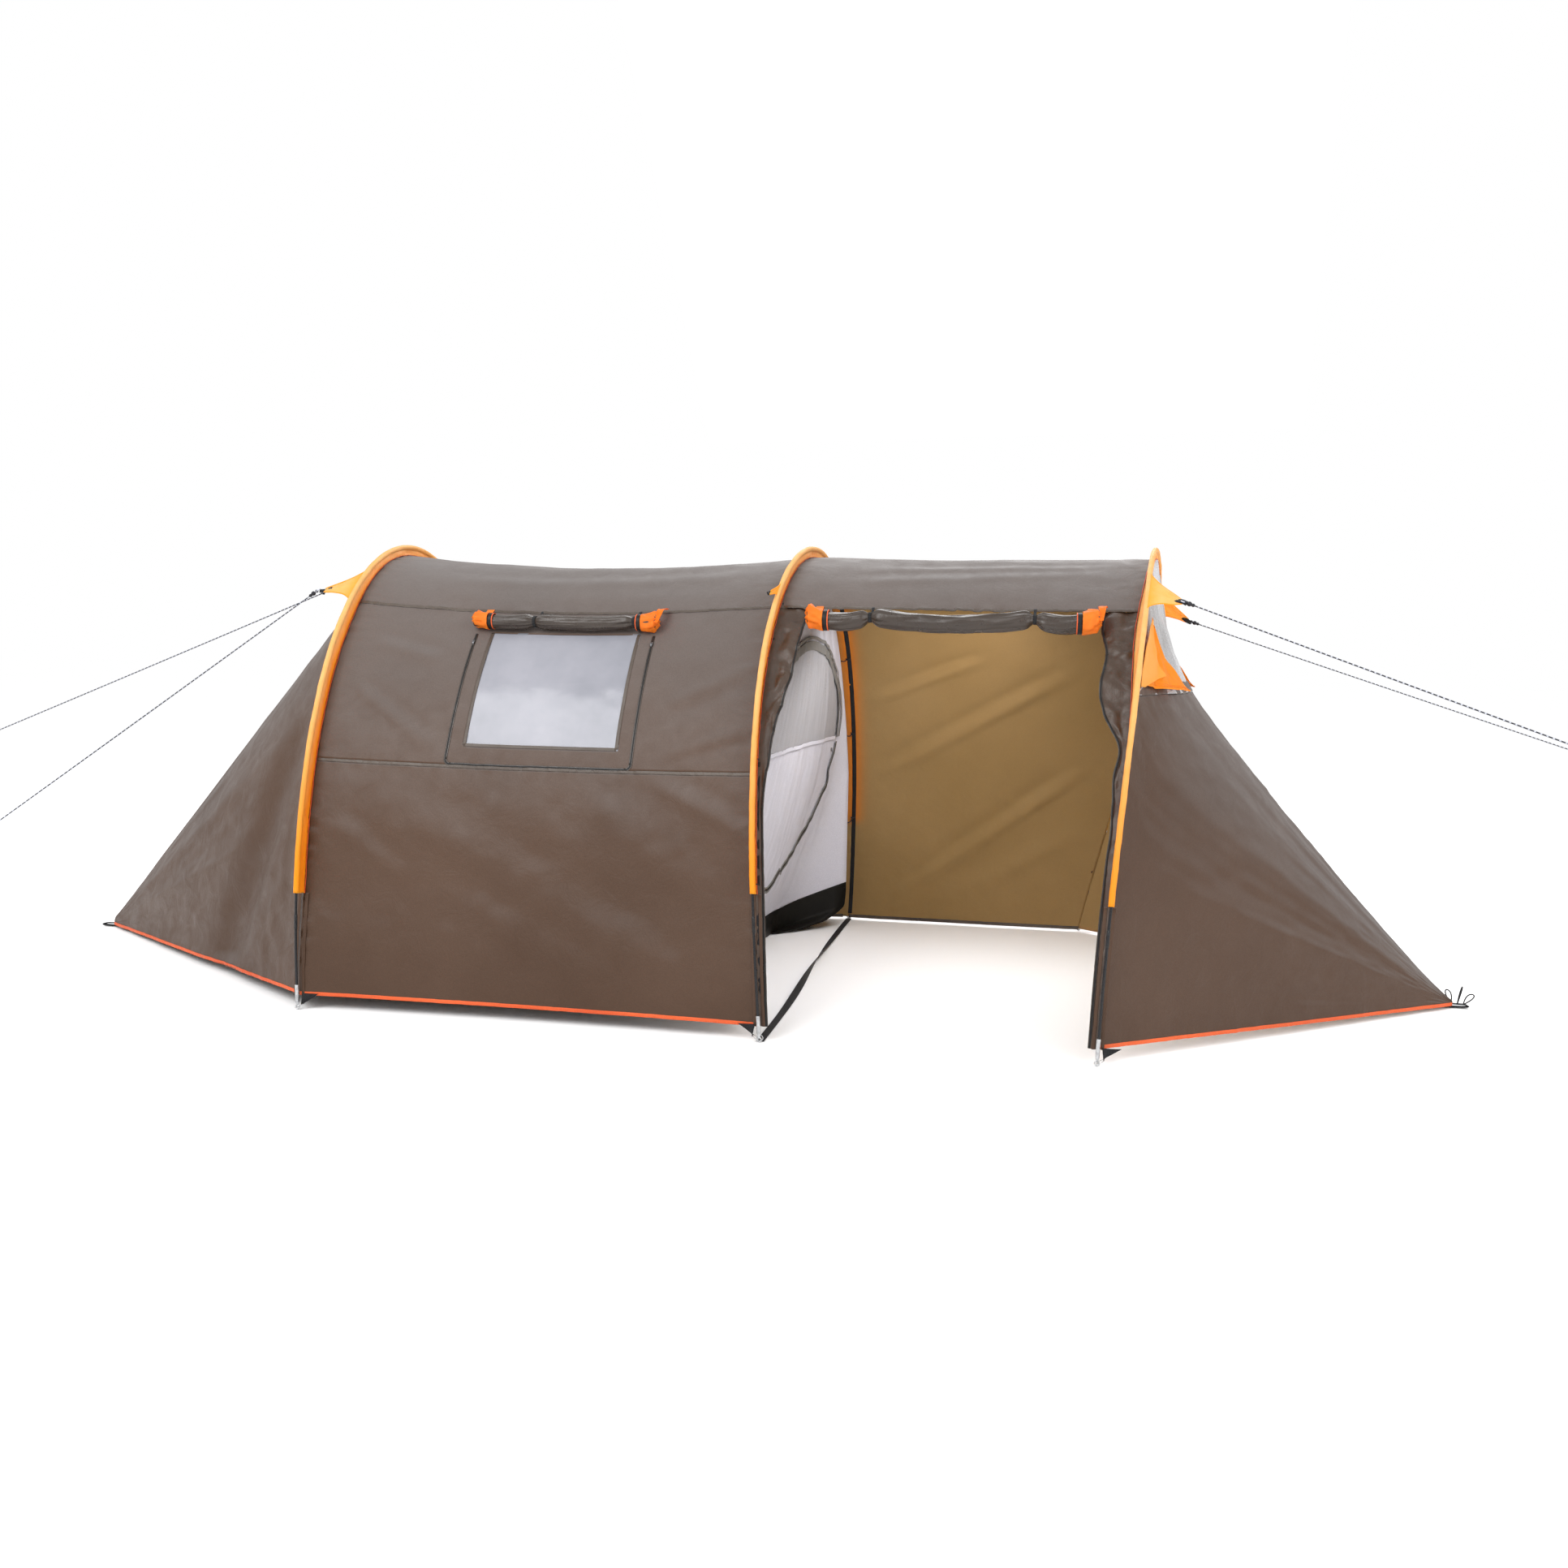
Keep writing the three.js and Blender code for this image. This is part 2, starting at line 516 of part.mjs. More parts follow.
// Walls and roof in one: upright at the sides, then following the fly.
const canopy = sheet(3, 18, (u, v, lift) => {
  const angle = THREE.MathUtils.lerp(INNER_TUB_ANGLE, Math.PI - INNER_TUB_ANGLE, v);
  const front = hoopPoint(HOOPS.middle, angle, INNER_INSET).x - INNER.top;
  const x = THREE.MathUtils.lerp(INNER_REAR_X + INNER_GAP.canopyRear, front, u);
  const at = bayPoint(BAYS.rear, x, angle, lift - (INNER_INSET - flyInset(angle)));
  const side = INNER.side + INNER.clear + lift;
  at.y = THREE.MathUtils.clamp(at.y, -side, side);
  return at;
}, 0, INNER.wall);
add("inner_canopy", canopy, WHITE);

const rearWall = sheet(1, 10, (u, v, lift) => {
  const z = THREE.MathUtils.lerp(TUB_H + INNER_GAP.rim, INNER_TOP_Z, v);
  const half = Math.min(innerHalf(z), INNER.side) - INNER_GAP.rearWall;
  return new THREE.Vector3(INNER_REAR_X + lift, (2 * u - 1) * half, z);
}, 0, INNER.wall);
add("inner_rear_wall", rearWall, WHITE);

const DOOR_SLIDER = { u: 0.9, v: 0.52, stand: 4 };
const sliderAt = innerFrontPoint(DOOR_SLIDER.u, DOOR_SLIDER.v, INNER.wall + DOOR_SLIDER.stand);
add("inner_door_slider", new THREE.BoxGeometry(SLIDER.depth, SLIDER.width, SLIDER.length)
  .translate(sliderAt.x + SLIDER.depth / 2, sliderAt.y, sliderAt.z), STEEL);

// ---- floor strap of the middle hoop --------------------------------------------------------
const STRAP = { halfWidth: 12, t: 1.5, end: 940 };
const strap = new THREE.BoxGeometry(1, 1, 1, 1, 16, 1);
add("middle_floor_strap", mapped(strap, (x, y, z) => {
  const from = footAxis(HOOPS.middle, false)(0).x;
  const to = footAxis(HOOPS.middle, true)(0).x;
  const centre = THREE.MathUtils.lerp(from, to, y + 0.5);
  return new THREE.Vector3(centre + x * 2 * STRAP.halfWidth, y * 2 * STRAP.end, (z + 0.5) * STRAP.t);
}), BLACK);

// ---- guy tabs, cords and runners -----------------------------------------------------------
// A tab is a flat triangle from a stretch of sleeve to its tip, ending in a webbing loop.
const TAB = { clear: 10.5, tip: 14, t: 2, crowd: 0.8 };
function tabGeometry(hoop, angle0, angle1, tip) {
  const low = hoopPoint(hoop, angle0, -TAB.clear);
  const high = hoopPoint(hoop, angle1, -TAB.clear);
  const middle = low.clone().lerp(high, 0.5);
  const out = tip.clone().sub(middle).normalize();
  const across = high.clone().sub(low).normalize();
  const flat = out.clone().cross(across).normalize();
  const unit = new THREE.BoxGeometry(1, 1, 1, 4, 4, 1).translate(0.5, 0.5, 0.5);
  return mapped(unit, (u, v, w) => {
    const base = hoopPoint(hoop, THREE.MathUtils.lerp(angle0, angle1, v), -TAB.clear);
    const end = tip.clone().addScaledVector(across, TAB.tip * (v - 0.5));
    return base.lerp(end, u ** TAB.crowd).addScaledVector(flat, TAB.t * (w - 0.5));
  });
}

const degrees = Math.PI / 180;
const GUY_TABS = {
  rear_tab_near: [HOOPS.rear, 59, 68, [-1328, -470, 1347]],
  rear_tab_far: [HOOPS.rear, 121, 112, [-1328, 470, 1347]],
  front_tab_near: [HOOPS.front, 59, 69, [1548, -500, 1335]],
  front_tab_far: [HOOPS.front, 121, 112, [1670, 500, 1304]],
  middle_tab_near: [HOOPS.middle, 61.5, 64.5, [258, -505, 1352]],
  middle_tab_far: [HOOPS.middle, 118.5, 115.5, [280, 505, 1352]],
};
for (const [name, [hoop, angle0, angle1, tip]] of Object.entries(GUY_TABS)) {
  add(name, tabGeometry(hoop, angle0 * degrees, angle1 * degrees, new THREE.Vector3(...tip)), ORANGE);
}

const CORDS = {
  rear_cord_side: { from: [-1350, -486, 1342], to: [-2259, -1000, 528], runner: true },
  rear_cord_end: { from: [-1340, -461, 1337], to: [-2813, -350, 787], runner: false },
  front_cord_near: { from: [1557, -505, 1334], to: [2540, -950, 944], runner: true },
  front_cord_far: { from: [1682, 505, 1301], to: [3160, 750, 828], runner: true },
};
const CORD_STEPS = 12;
const CORD_SAG = 0.0005; // of the span
const RUNNER = { r: 7, bore: 2.8, start: 6, length: 24, lip: 3, cone: 6, nose: 5 };

function cordCurve({ from, to }) {
  const a = new THREE.Vector3(...from);
  const b = new THREE.Vector3(...to);
  const points = Array.from({ length: CORD_STEPS + 1 }, (_, i) => {
    const t = i / CORD_STEPS;
    const point = a.clone().lerp(b, t);
    point.z -= 4 * t * (1 - t) * CORD_SAG * a.distanceTo(b);
    return point;
  });
  return new THREE.CatmullRomCurve3(points);
}

function runnerGeometry({ from, to }) {
  const a = new THREE.Vector3(...from);
  const direction = new THREE.Vector3(...to).sub(a).normalize();
  const { r, bore, length, start, lip, cone, nose } = RUNNER;
  const profile = [[bore, 0], [r, lip], [r, length - cone], [nose, length], [bore, length], [bore, 0]];
  const ring = profile.map(([x, y]) => new THREE.Vector2(x, y + start));
  const turn = new THREE.Quaternion().setFromUnitVectors(new THREE.Vector3(0, 1, 0), direction);
  const raw = new THREE.LatheGeometry(ring, 12);
  return mapped(raw, (x, y, z) => new THREE.Vector3(x, y, z).applyQuaternion(turn).add(a));
}

for (const [name, cord] of Object.entries(CORDS)) {
  const outline = new THREE.Shape(new THREE.Shape().absarc(0, 0, CORD_R, 0, 2 * Math.PI).getPoints(4));
  const along = { steps: CORD_STEPS, extrudePath: cordCurve(cord), bevelEnabled: false };
  const tube = new THREE.ExtrudeGeometry(outline, along);
  add(name, mapped(tube, (x, y, z) => new THREE.Vector3(x, y, z)), BLACK);
  if (cord.runner) add(name.replace("cord", "runner"), runnerGeometry(cord), PLASTIC);
}

export default parts;
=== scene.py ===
import math

import bmesh
import bpy
import numpy as np
from mathutils import Matrix, Vector


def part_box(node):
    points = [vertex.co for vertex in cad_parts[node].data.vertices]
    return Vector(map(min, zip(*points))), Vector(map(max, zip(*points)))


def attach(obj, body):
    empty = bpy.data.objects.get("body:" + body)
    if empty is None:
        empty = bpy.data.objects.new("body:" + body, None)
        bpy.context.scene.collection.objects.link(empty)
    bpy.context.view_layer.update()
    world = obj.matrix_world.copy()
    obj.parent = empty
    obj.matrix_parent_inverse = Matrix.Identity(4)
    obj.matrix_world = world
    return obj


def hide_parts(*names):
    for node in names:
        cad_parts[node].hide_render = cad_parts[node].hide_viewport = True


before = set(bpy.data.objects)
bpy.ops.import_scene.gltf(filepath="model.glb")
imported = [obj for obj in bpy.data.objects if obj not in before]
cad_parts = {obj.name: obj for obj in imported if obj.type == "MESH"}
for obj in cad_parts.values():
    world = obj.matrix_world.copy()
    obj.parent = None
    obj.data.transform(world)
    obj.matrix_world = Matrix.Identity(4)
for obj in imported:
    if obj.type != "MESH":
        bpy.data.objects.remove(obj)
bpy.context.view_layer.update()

PI = math.pi

# ---- driving dimensions, the same as the frame's -------------------------------------------
FOOT_Y = 0.975
POLE_TOP = 1.528
POLE_R = 0.00425
HOOPS = {
    "rear": {"x": -1.161, "lean": -0.066, "twist": 0.0, "belly": 0.0, "sleeve_end": 0.370, "ring": 1},
    "middle": {"x": 0.341, "lean": -0.020, "twist": 0.050, "belly": -0.010, "sleeve_end": 0.440, "ring": -1},
    "front": {"x": 1.324, "lean": 0.179, "twist": 0.065, "belly": 0.025, "sleeve_end": 0.455, "ring": 1},
}
POINT_X, POINT_Z = 2.555, 0.015
NEAR_HEM_Z, FAR_HEM_Z = 0.045, 0.012
LOW_SEAM_Z, ROOF_SEAM_Z = 0.785, 1.310
BAYS = {
    "rear": {"ends": ("rear", "middle"), "wall_sag": 0.020, "roof_sag": 0.022},
    "front": {"ends": ("middle", "front"), "wall_sag": 0.004, "roof_sag": 0.002},
}
WEDGES = {"rear": {"side": -1, "drop": 0.0}, "front": {"side": 1, "drop": 0.300}}
VENT_Z = 1.050
WINDOW = {"x0": -0.702, "x1": -0.188, "low": 0.855, "high": 1.232, "zips": (-0.757, -0.134)}
CLOTH = 0.0008  # thickness of every cloth shell


# ---- small maths ---------------------------------------------------------------------------
def smooth(t):
    t = np.clip(t, 0.0, 1.0)
    return t * t * (3 - 2 * t)


def lerp(a, b, t):
    return a + (b - a) * t


def unit(v):
    v = np.asarray(v, float)
    return v / np.maximum(np.linalg.norm(v, axis=-1, keepdims=True), 1e-12)


def points(x, y, z):
    return np.stack(np.broadcast_arrays(x, y, z), axis=-1).astype(float)


def noise(x, y, seed):
    """Smooth noise from -1 to 1 over a plane, with features about 1 apart."""
    table = np.random.default_rng(seed).uniform(-1, 1, (61, 67))
    i, j = np.floor(x).astype(int), np.floor(y).astype(int)
    u, v = smooth(x - i), smooth(y - j)

    def corner(di, dj):
        return table[(i + di) % 61, (j + dj) % 67]

    return lerp(lerp(corner(0, 0), corner(1, 0), u), lerp(corner(0, 1), corner(1, 1), u), v)


# ---- the hoop curve and the surfaces hung from it ------------------------------------------
# An angle is 0 at the near foot, a quarter turn at the apex and a half turn at the far foot.
def outward(angle):
    return unit(points(0.0, -np.cos(angle) / FOOT_Y, np.sin(angle) / POLE_TOP))


def hoop_point(name, angle, inset=0.0):
    hoop = HOOPS[name]
    swing = np.sin(2 * angle)
    x = hoop["x"] + hoop["lean"] * np.sin(angle) - hoop["twist"] * swing + hoop["belly"] * swing**2
    on_pole = points(x, -FOOT_Y * np.cos(angle), POLE_TOP * np.sin(angle))
    return on_pole - outward(angle) * np.asarray(inset)[..., None]


def fly_inset(angle):
    height = POLE_TOP * np.sin(angle)
    return lerp(0.014, 0.050, smooth(height / 0.450)) - 0.020 * smooth((height - 1.250) / (POLE_TOP - 1.250))


def fly_at(name, angle):
    return hoop_point(name, angle, fly_inset(angle))


def angle_at(height):
    """The near-side angle at which the fly reaches a height; the far side is its mirror image."""
    low, high = 0.0, PI / 2
    for _ in range(40):
        middle = (low + high) / 2
        low, high = (middle, high) if fly_at("middle", middle)[2] < height else (low, middle)
    return low


def bay_point(bay, x, angle, lift=0.0):
    ends = BAYS[bay]["ends"]
    a, b = fly_at(ends[0], angle), fly_at(ends[1], angle)
    u = (x - a[..., 0]) / (b[..., 0] - a[..., 0])
    sag = 4 * u * (1 - u) * (BAYS[bay]["wall_sag"] + BAYS[bay]["roof_sag"] * np.sin(angle))
    return a + (b - a) * u[..., None] + outward(angle) * (lift - sag)[..., None]


def on_wedge(wedge, u, angle):
    start = fly_at(wedge, angle)
    end = np.array([WEDGES[wedge]["side"] * POINT_X, 0.0, POINT_Z])
    at = start + (end - start) * u[..., None]
    steep = (1 - np.exp(-u / 0.05)) * np.maximum(1 - u, 0) ** 0.7
    at[..., 2] -= WEDGES[wedge]["drop"] * np.sin(angle) ** 2 * steep
    return at


def wedge_point(wedge, u, angle, lift=0.0):
    """A wedge's surface, straight lines from the hoop to the point that sink where drop is set."""
    u, angle = (np.array(v, float) for v in np.broadcast_arrays(u, angle))
    at = on_wedge(wedge, u, angle)
    normal = unit(np.cross(on_wedge(wedge, u + 1e-4, angle) - at, on_wedge(wedge, u, angle + 1e-4) - at))
    return at + normal * (WEDGES[wedge]["side"] * np.asarray(lift))[..., None]


ARC_ANGLES = np.linspace(0, PI, 721)
ARC_LENGTHS = np.concatenate(
    [[0], np.cumsum(np.linalg.norm(np.diff(fly_at("middle", ARC_ANGLES)[:, 1:], axis=0), axis=1))]
)


def arc(angle):
    """Length of cloth from the near foot to an angle, round the hoop."""
    return np.interp(angle, ARC_ANGLES, ARC_LENGTHS)


NEAR_HEM, FAR_HEM = angle_at(NEAR_HEM_Z), PI - angle_at(FAR_HEM_Z)
LOW_SEAM, ROOF_SEAM = angle_at(LOW_SEAM_Z), angle_at(ROOF_SEAM_Z)
FAR_SEAM = PI - ROOF_SEAM


# ---- camera --------------------------------------------------------------------------------
def make_camera():
    place, yaw, pitch, roll = (1.1226, -4.8516, 1.1654), 0.1838, -0.098, 0.0177
    ahead = Vector((-math.sin(yaw) * math.cos(pitch), math.cos(yaw) * math.cos(pitch), math.sin(pitch)))
    level = Vector((math.cos(yaw), math.sin(yaw), 0))
    top = level.cross(ahead)
    right = level * math.cos(roll) + top * math.sin(roll)
    up = top * math.cos(roll) - level * math.sin(roll)
    camera = bpy.data.objects.new("camera", bpy.data.cameras.new("camera"))
    bpy.context.scene.collection.objects.link(camera)
    camera.matrix_world = Matrix.Translation(place) @ Matrix((right, up, -ahead)).transposed().to_4x4()
    camera.data.sensor_width = 36
    camera.data.lens = 31.13
    camera.data.clip_end = 200
    bpy.context.scene.camera = camera


make_camera()


# ---- node materials ------------------------------------------------------------------------
class Nodes:
    """Short calls for building a material's node tree."""

    def __init__(self, name):
        self.material = bpy.data.materials.new(name)
        self.material.use_nodes = True
        self.tree = self.material.node_tree
        self.shader = self.tree.nodes["Principled BSDF"]
        self.output = self.tree.nodes["Material Output"]
        self.place = self.add("ShaderNodeTexCoord").outputs["Object"]

    def add(self, kind, **inputs):
        node = self.tree.nodes.new(kind)
        for key, value in inputs.items():
            self.put(node, key.replace("_", " "), value)
        return node

    def put(self, node, key, value):
        socket = node.inputs[key]
        if isinstance(value, bpy.types.NodeSocket):
            self.tree.links.new(value, socket)
        else:
            socket.default_value = value

    def set(self, **inputs):
        for key, value in inputs.items():
            self.put(self.shader, key.replace("_", " "), value)

    def maths(self, operation, a, b=0.0):
        node = self.add("ShaderNodeMath")
        node.operation = operation
        self.put(node, 0, a)
        self.put(node, 1, b)
        return node.outputs[0]

    def noise(self, scale, detail=3.0, rough=0.5, distortion=0.0, place=None):
        node = self.add("ShaderNodeTexNoise", Vector=place or self.place, Scale=scale, Detail=detail,
                        Roughness=rough, Distortion=distortion)
        return node.outputs["Fac"]

    def stretched(self, x, y, z):
        node = self.add("ShaderNodeVectorMath")
        node.operation = "MULTIPLY"
        self.put(node, 0, self.place)
        node.inputs[1].default_value = (x, y, z)
        return node.outputs[0]

    def spread(self, value, low, high, out_low=0.0, out_high=1.0):
        node = self.add("ShaderNodeMapRange")
        for key, number in zip((1, 2, 3, 4), (low, high, out_low, out_high)):
            node.inputs[key].default_value = number
        self.put(node, 0, value)
        return node.outputs[0]

    def blend(self, share, a, b):
        node = self.add("ShaderNodeMix")
        node.data_type = "RGBA"
        self.put(node, 0, share)
        for key, colour in ((6, a), (7, b)):
            if isinstance(colour, bpy.types.NodeSocket):
                self.put(node, key, colour)
            else:
                node.inputs[key].default_value = (*colour, 1)
        return node.outputs[2]

    def attribute(self, name):
        node = self.add("ShaderNodeAttribute")
        node.attribute_name = name
        return node.outputs["Fac"]

    def bump(self, height, distance, strength=1.0, under=None):
        node = self.add("ShaderNodeBump", Height=height, Distance=distance, Strength=strength)
        if under is not None:
            self.put(node, "Normal", under)
        return node.outputs["Normal"]

    def let_light_through(self, share, colour):
        """Mixes a translucent shader in, so that light behind thin cloth shows."""
        behind = self.add("ShaderNodeBsdfTranslucent")
        self.put(behind, "Color", colour if isinstance(colour, bpy.types.NodeSocket) else (*colour, 1))
        mix = self.add("ShaderNodeMixShader")
        mix.inputs[0].default_value = share
        self.tree.links.new(self.shader.outputs[0], mix.inputs[1])
        self.tree.links.new(behind.outputs[0], mix.inputs[2])
        self.tree.links.new(mix.outputs[0], self.output.inputs[0])


def weave(nodes, threads_per_metre):
    """Height of a plain weave: two crossing sets of threads."""
    heights = []
    for direction in ("X", "Z"):
        wave = nodes.add("ShaderNodeTexWave", Vector=nodes.place, Scale=threads_per_metre * PI / 10, Distortion=0.4)
        wave.bands_direction = direction
        heights.append(wave.outputs["Fac"])
    return nodes.maths("MULTIPLY", *heights)


def cloth_material(name, dark, light, rough=0.5, through=0.0, through_colour=None, sheen=0.05, crinkle=0.0012,
                   gloss=0.3, painted_sky_reflection=0.0):
    """Woven cloth; a painted reflection of the sky greys the parts that face up, and the glow mark paints orange light
    from a sleeve on it.
    """
    nodes = Nodes(name)
    cloudy = nodes.spread(nodes.noise(1.7, 4, 0.55), 0.32, 0.70)
    fine = nodes.spread(nodes.noise(260, 2), 0.35, 0.65, 0.94, 1.05)
    colour = nodes.blend(cloudy, dark, light)
    # Parts that face up are blended towards pale grey: painted reflection of the bright sky; below they are also made
    # rougher.
    if painted_sky_reflection:
        facing = nodes.add("ShaderNodeSeparateXYZ", Vector=nodes.add("ShaderNodeNewGeometry").outputs["Normal"])
        colour = nodes.blend(nodes.spread(facing.outputs["Z"], 0.25, 0.95, 0.0, painted_sky_reflection), colour, (0.24, 0.245, 0.25))
    # Where the glow mark is set, orange is blended in: painted light that shines through the sleeve.
    if through:
        colour = nodes.blend(nodes.attribute("glow"), colour, (1.0, 0.27, 0.012))
    tint = nodes.add("ShaderNodeHueSaturation", Color=colour, Value=fine).outputs[0]
    creases = nodes.noise(13, 7, 0.62, 0.9)
    crushed = nodes.noise(55, 4, 0.6, 1.4)
    normal = nodes.bump(weave(nodes, 1100), 0.0002, 0.35)
    normal = nodes.bump(crushed, crinkle * 0.35, 0.6, normal)
    normal = nodes.bump(creases, crinkle * 3, 0.7, normal)
    roughness = nodes.spread(creases, 0.3, 0.7, rough - 0.08, rough + 0.1)
    if painted_sky_reflection:
        roughness = nodes.maths("ADD", roughness, nodes.spread(facing.outputs["Z"], 0.25, 0.95, 0.0, 0.26))
    nodes.set(Base_Color=tint, Normal=normal, Roughness=roughness,
              Sheen_Weight=sheen, Sheen_Roughness=0.3, Specular_IOR_Level=gloss)
    if through:
        nodes.let_light_through(through, through_colour or light)
    return nodes.material


def orange_material(name, low, top, through=(1.0, 0.54, 0.07)):
    """Orange cloth from its colour low on the tent to its sunlit colour over the roof."""
    nodes = Nodes(name)
    height = nodes.add("ShaderNodeSeparateXYZ", Vector=nodes.place).outputs["Z"]
    high = nodes.spread(height, 0.9, 1.52)
    base = nodes.blend(high, low, top)
    worn = nodes.spread(nodes.noise(30, 4), 0.3, 0.75, 0.0, 0.35)
    # The pale mark blends in pale orange: painted light where the cloth is lit or lets light through.
    pale = nodes.blend(nodes.attribute("pale"), base, (1.0, 0.74, 0.30))
    colour = nodes.blend(worn, pale, (1.0, 0.46, 0.04))
    normal = nodes.bump(weave(nodes, 1100), 0.0002, 0.35)
    normal = nodes.bump(nodes.noise(34, 6, 0.6, 1.0), 0.0022, 0.7, normal)
    nodes.set(Base_Color=colour, Normal=normal, Roughness=0.5, Sheen_Weight=0.05, Sheen_Roughness=0.3,
              Specular_IOR_Level=0.3)
    nodes.let_light_through(0.5, through)
    return nodes.material


def webbing_material():
    nodes = Nodes("black_webbing")
    ribs = nodes.add("ShaderNodeTexWave", Vector=nodes.place, Scale=75, Distortion=0.6)
    ribs.bands_direction = "DIAGONAL"
    fibre = nodes.noise(600, 3)
    colour = nodes.blend(nodes.spread(fibre, 0.35, 0.7), (0.005, 0.005, 0.006), (0.022, 0.022, 0.024))
    nodes.set(Base_Color=colour, Roughness=0.72, Sheen_Weight=0.05, Specular_IOR_Level=0.2,
              Normal=nodes.bump(ribs.outputs["Fac"], 0.0006, 0.6, nodes.bump(fibre, 0.0003, 0.5)))
    return nodes.material


def cord_material():
    """Braided line: dark strands with pale flecks that run round it in two directions."""
    nodes = Nodes("braided_cord")
    uv = nodes.add("ShaderNodeSeparateXYZ", Vector=nodes.add("ShaderNodeUVMap").outputs[0])
    around, along = uv.outputs["X"], uv.outputs["Y"]
    turns = [nodes.maths("FRACT", nodes.maths(op, nodes.maths("MULTIPLY", along, 62.0), around))
             for op in ("ADD", "SUBTRACT")]
    fleck = nodes.maths("MULTIPLY", nodes.maths("LESS_THAN", turns[0], 0.42), nodes.maths("LESS_THAN", turns[1], 0.42))
    colour = nodes.blend(fleck, (0.012, 0.014, 0.028), (0.48, 0.50, 0.58))
    strands = nodes.maths("PINGPONG", nodes.maths("MULTIPLY", nodes.maths("ADD", turns[0], turns[1]), 4.0), 0.5)
    nodes.set(Base_Color=colour, Roughness=0.6, Normal=nodes.bump(strands, 0.0004, 0.8), Sheen_Weight=0.2)
    return nodes.material


def metal_material(name, colour, rough):
    nodes = Nodes(name)
    drawn = nodes.noise(160, 5, place=nodes.stretched(1, 1, 0.12))
    spots = nodes.spread(nodes.noise(90, 4), 0.45, 0.75)
    shade = nodes.blend(spots, colour, tuple(0.62 * c for c in colour))
    nodes.set(Base_Color=shade, Metallic=1.0, Roughness=nodes.spread(drawn, 0.3, 0.7, rough, rough + 0.2),
              Normal=nodes.bump(drawn, 0.0002, 0.5))
    return nodes.material


def plastic_material(name, colour, rough, coat=0.0):
    nodes = Nodes(name)
    grain = nodes.noise(300, 3)
    shade = nodes.blend(nodes.spread(grain, 0.3, 0.7), colour, tuple(min(1, 1.5 * c + 0.004) for c in colour))
    nodes.set(Base_Color=shade, Roughness=nodes.spread(grain, 0.3, 0.7, rough - 0.06, rough + 0.08),
              Normal=nodes.bump(grain, 0.0002, 0.4), Coat_Weight=coat, Specular_IOR_Level=0.22)
    return nodes.material


def film_material():
    """Soft clear film over the white inner tent, a little cloudy and with shallow dents."""
    nodes = Nodes("clear_film")
    cloudy = nodes.spread(nodes.noise(3.2, 4, 0.6), 0.35, 0.7)
    dents = nodes.noise(6, 3, 0.5, 0.8)
    nodes.set(Base_Color=nodes.blend(cloudy, (0.26, 0.265, 0.30), (0.34, 0.34, 0.38)), Roughness=0.16, Alpha=0.82,
              Specular_IOR_Level=0.4, Normal=nodes.bump(dents, 0.004, 0.5))
    return nodes.material


def mesh_material():
    """Insect mesh: a fine net that lets some of what is behind it show."""
    nodes = Nodes("insect_mesh")
    net = weave(nodes, 900)
    nodes.set(Base_Color=nodes.blend(net, (0.38, 0.37, 0.39), (0.52, 0.51, 0.53)), Roughness=0.8, Alpha=0.80,
              Normal=nodes.bump(net, 0.0005, 0.8))
    return nodes.material


# The fly's outside: its up-facing parts are greyed by painted sky reflection.
FLY_OUT = cloth_material("fly_outside", (0.056, 0.028, 0.015), (0.074, 0.040, 0.024), 0.42, sheen=0.0, gloss=0.26,
                         painted_sky_reflection=0.42)
# The fly's inside is a light ochre: painted glow of daylight through the cloth, alongside its translucent share.
FLY_IN = cloth_material("fly_inside", (0.44, 0.27, 0.10), (0.51, 0.32, 0.13), 0.55, 0.45, (0.66, 0.41, 0.15))
SHINY_FLY = cloth_material("fly_shiny", (0.024, 0.015, 0.010), (0.040, 0.027, 0.019), 0.30, crinkle=0.0011, gloss=0.5)
JAMB_FLY = cloth_material("fly_jamb", (0.044, 0.025, 0.015), (0.064, 0.040, 0.027), 0.36, crinkle=0.0020, gloss=0.42)
VENT_STRIP = cloth_material("vent_strip", (0.22, 0.21, 0.205), (0.62, 0.61, 0.64), 0.25, crinkle=0.0060, gloss=0.6)
ORANGE = orange_material("orange_cloth", (1.0, 0.42, 0.010), (1.0, 0.54, 0.050))
HOOD_ORANGE = orange_material("hood_cloth", (1.0, 0.33, 0.004), (1.0, 0.38, 0.010))
ROLL_ORANGE = orange_material("roll_end_cloth", (1.0, 0.22, 0.006), (1.0, 0.24, 0.010), (1.0, 0.30, 0.03))
BINDING = cloth_material("hem_binding", (0.56, 0.075, 0.018), (0.72, 0.125, 0.032), 0.55)
INNER_WHITE = cloth_material("inner_cloth", (0.64, 0.63, 0.69), (0.74, 0.73, 0.79), 0.6, 0.25, (0.82, 0.81, 0.87))
GROUND = cloth_material("groundsheet", (0.0040, 0.0036, 0.0028), (0.0095, 0.0085, 0.0070), 0.5, sheen=0.0, gloss=0.15)
SEAM = cloth_material("seam_tape", (0.044, 0.029, 0.020), (0.085, 0.066, 0.052), 0.38, crinkle=0.002, gloss=0.4)
NET, FILM, WEBBING, CORD = mesh_material(), film_material(), webbing_material(), cord_material()
STEEL = metal_material("pin_steel", (0.55, 0.56, 0.57), 0.26)
SLIDER_METAL = metal_material("slider_metal", (0.20, 0.20, 0.21), 0.34)
ROD = plastic_material("pole_rod", (0.008, 0.008, 0.009), 0.30, 0.12)
PLASTIC = plastic_material("black_plastic", (0.014, 0.014, 0.018), 0.42)
ZIP = plastic_material("zip_black", (0.006, 0.006, 0.006), 0.45)
THREAD = plastic_material("pale_thread", (0.52, 0.50, 0.48), 0.7)


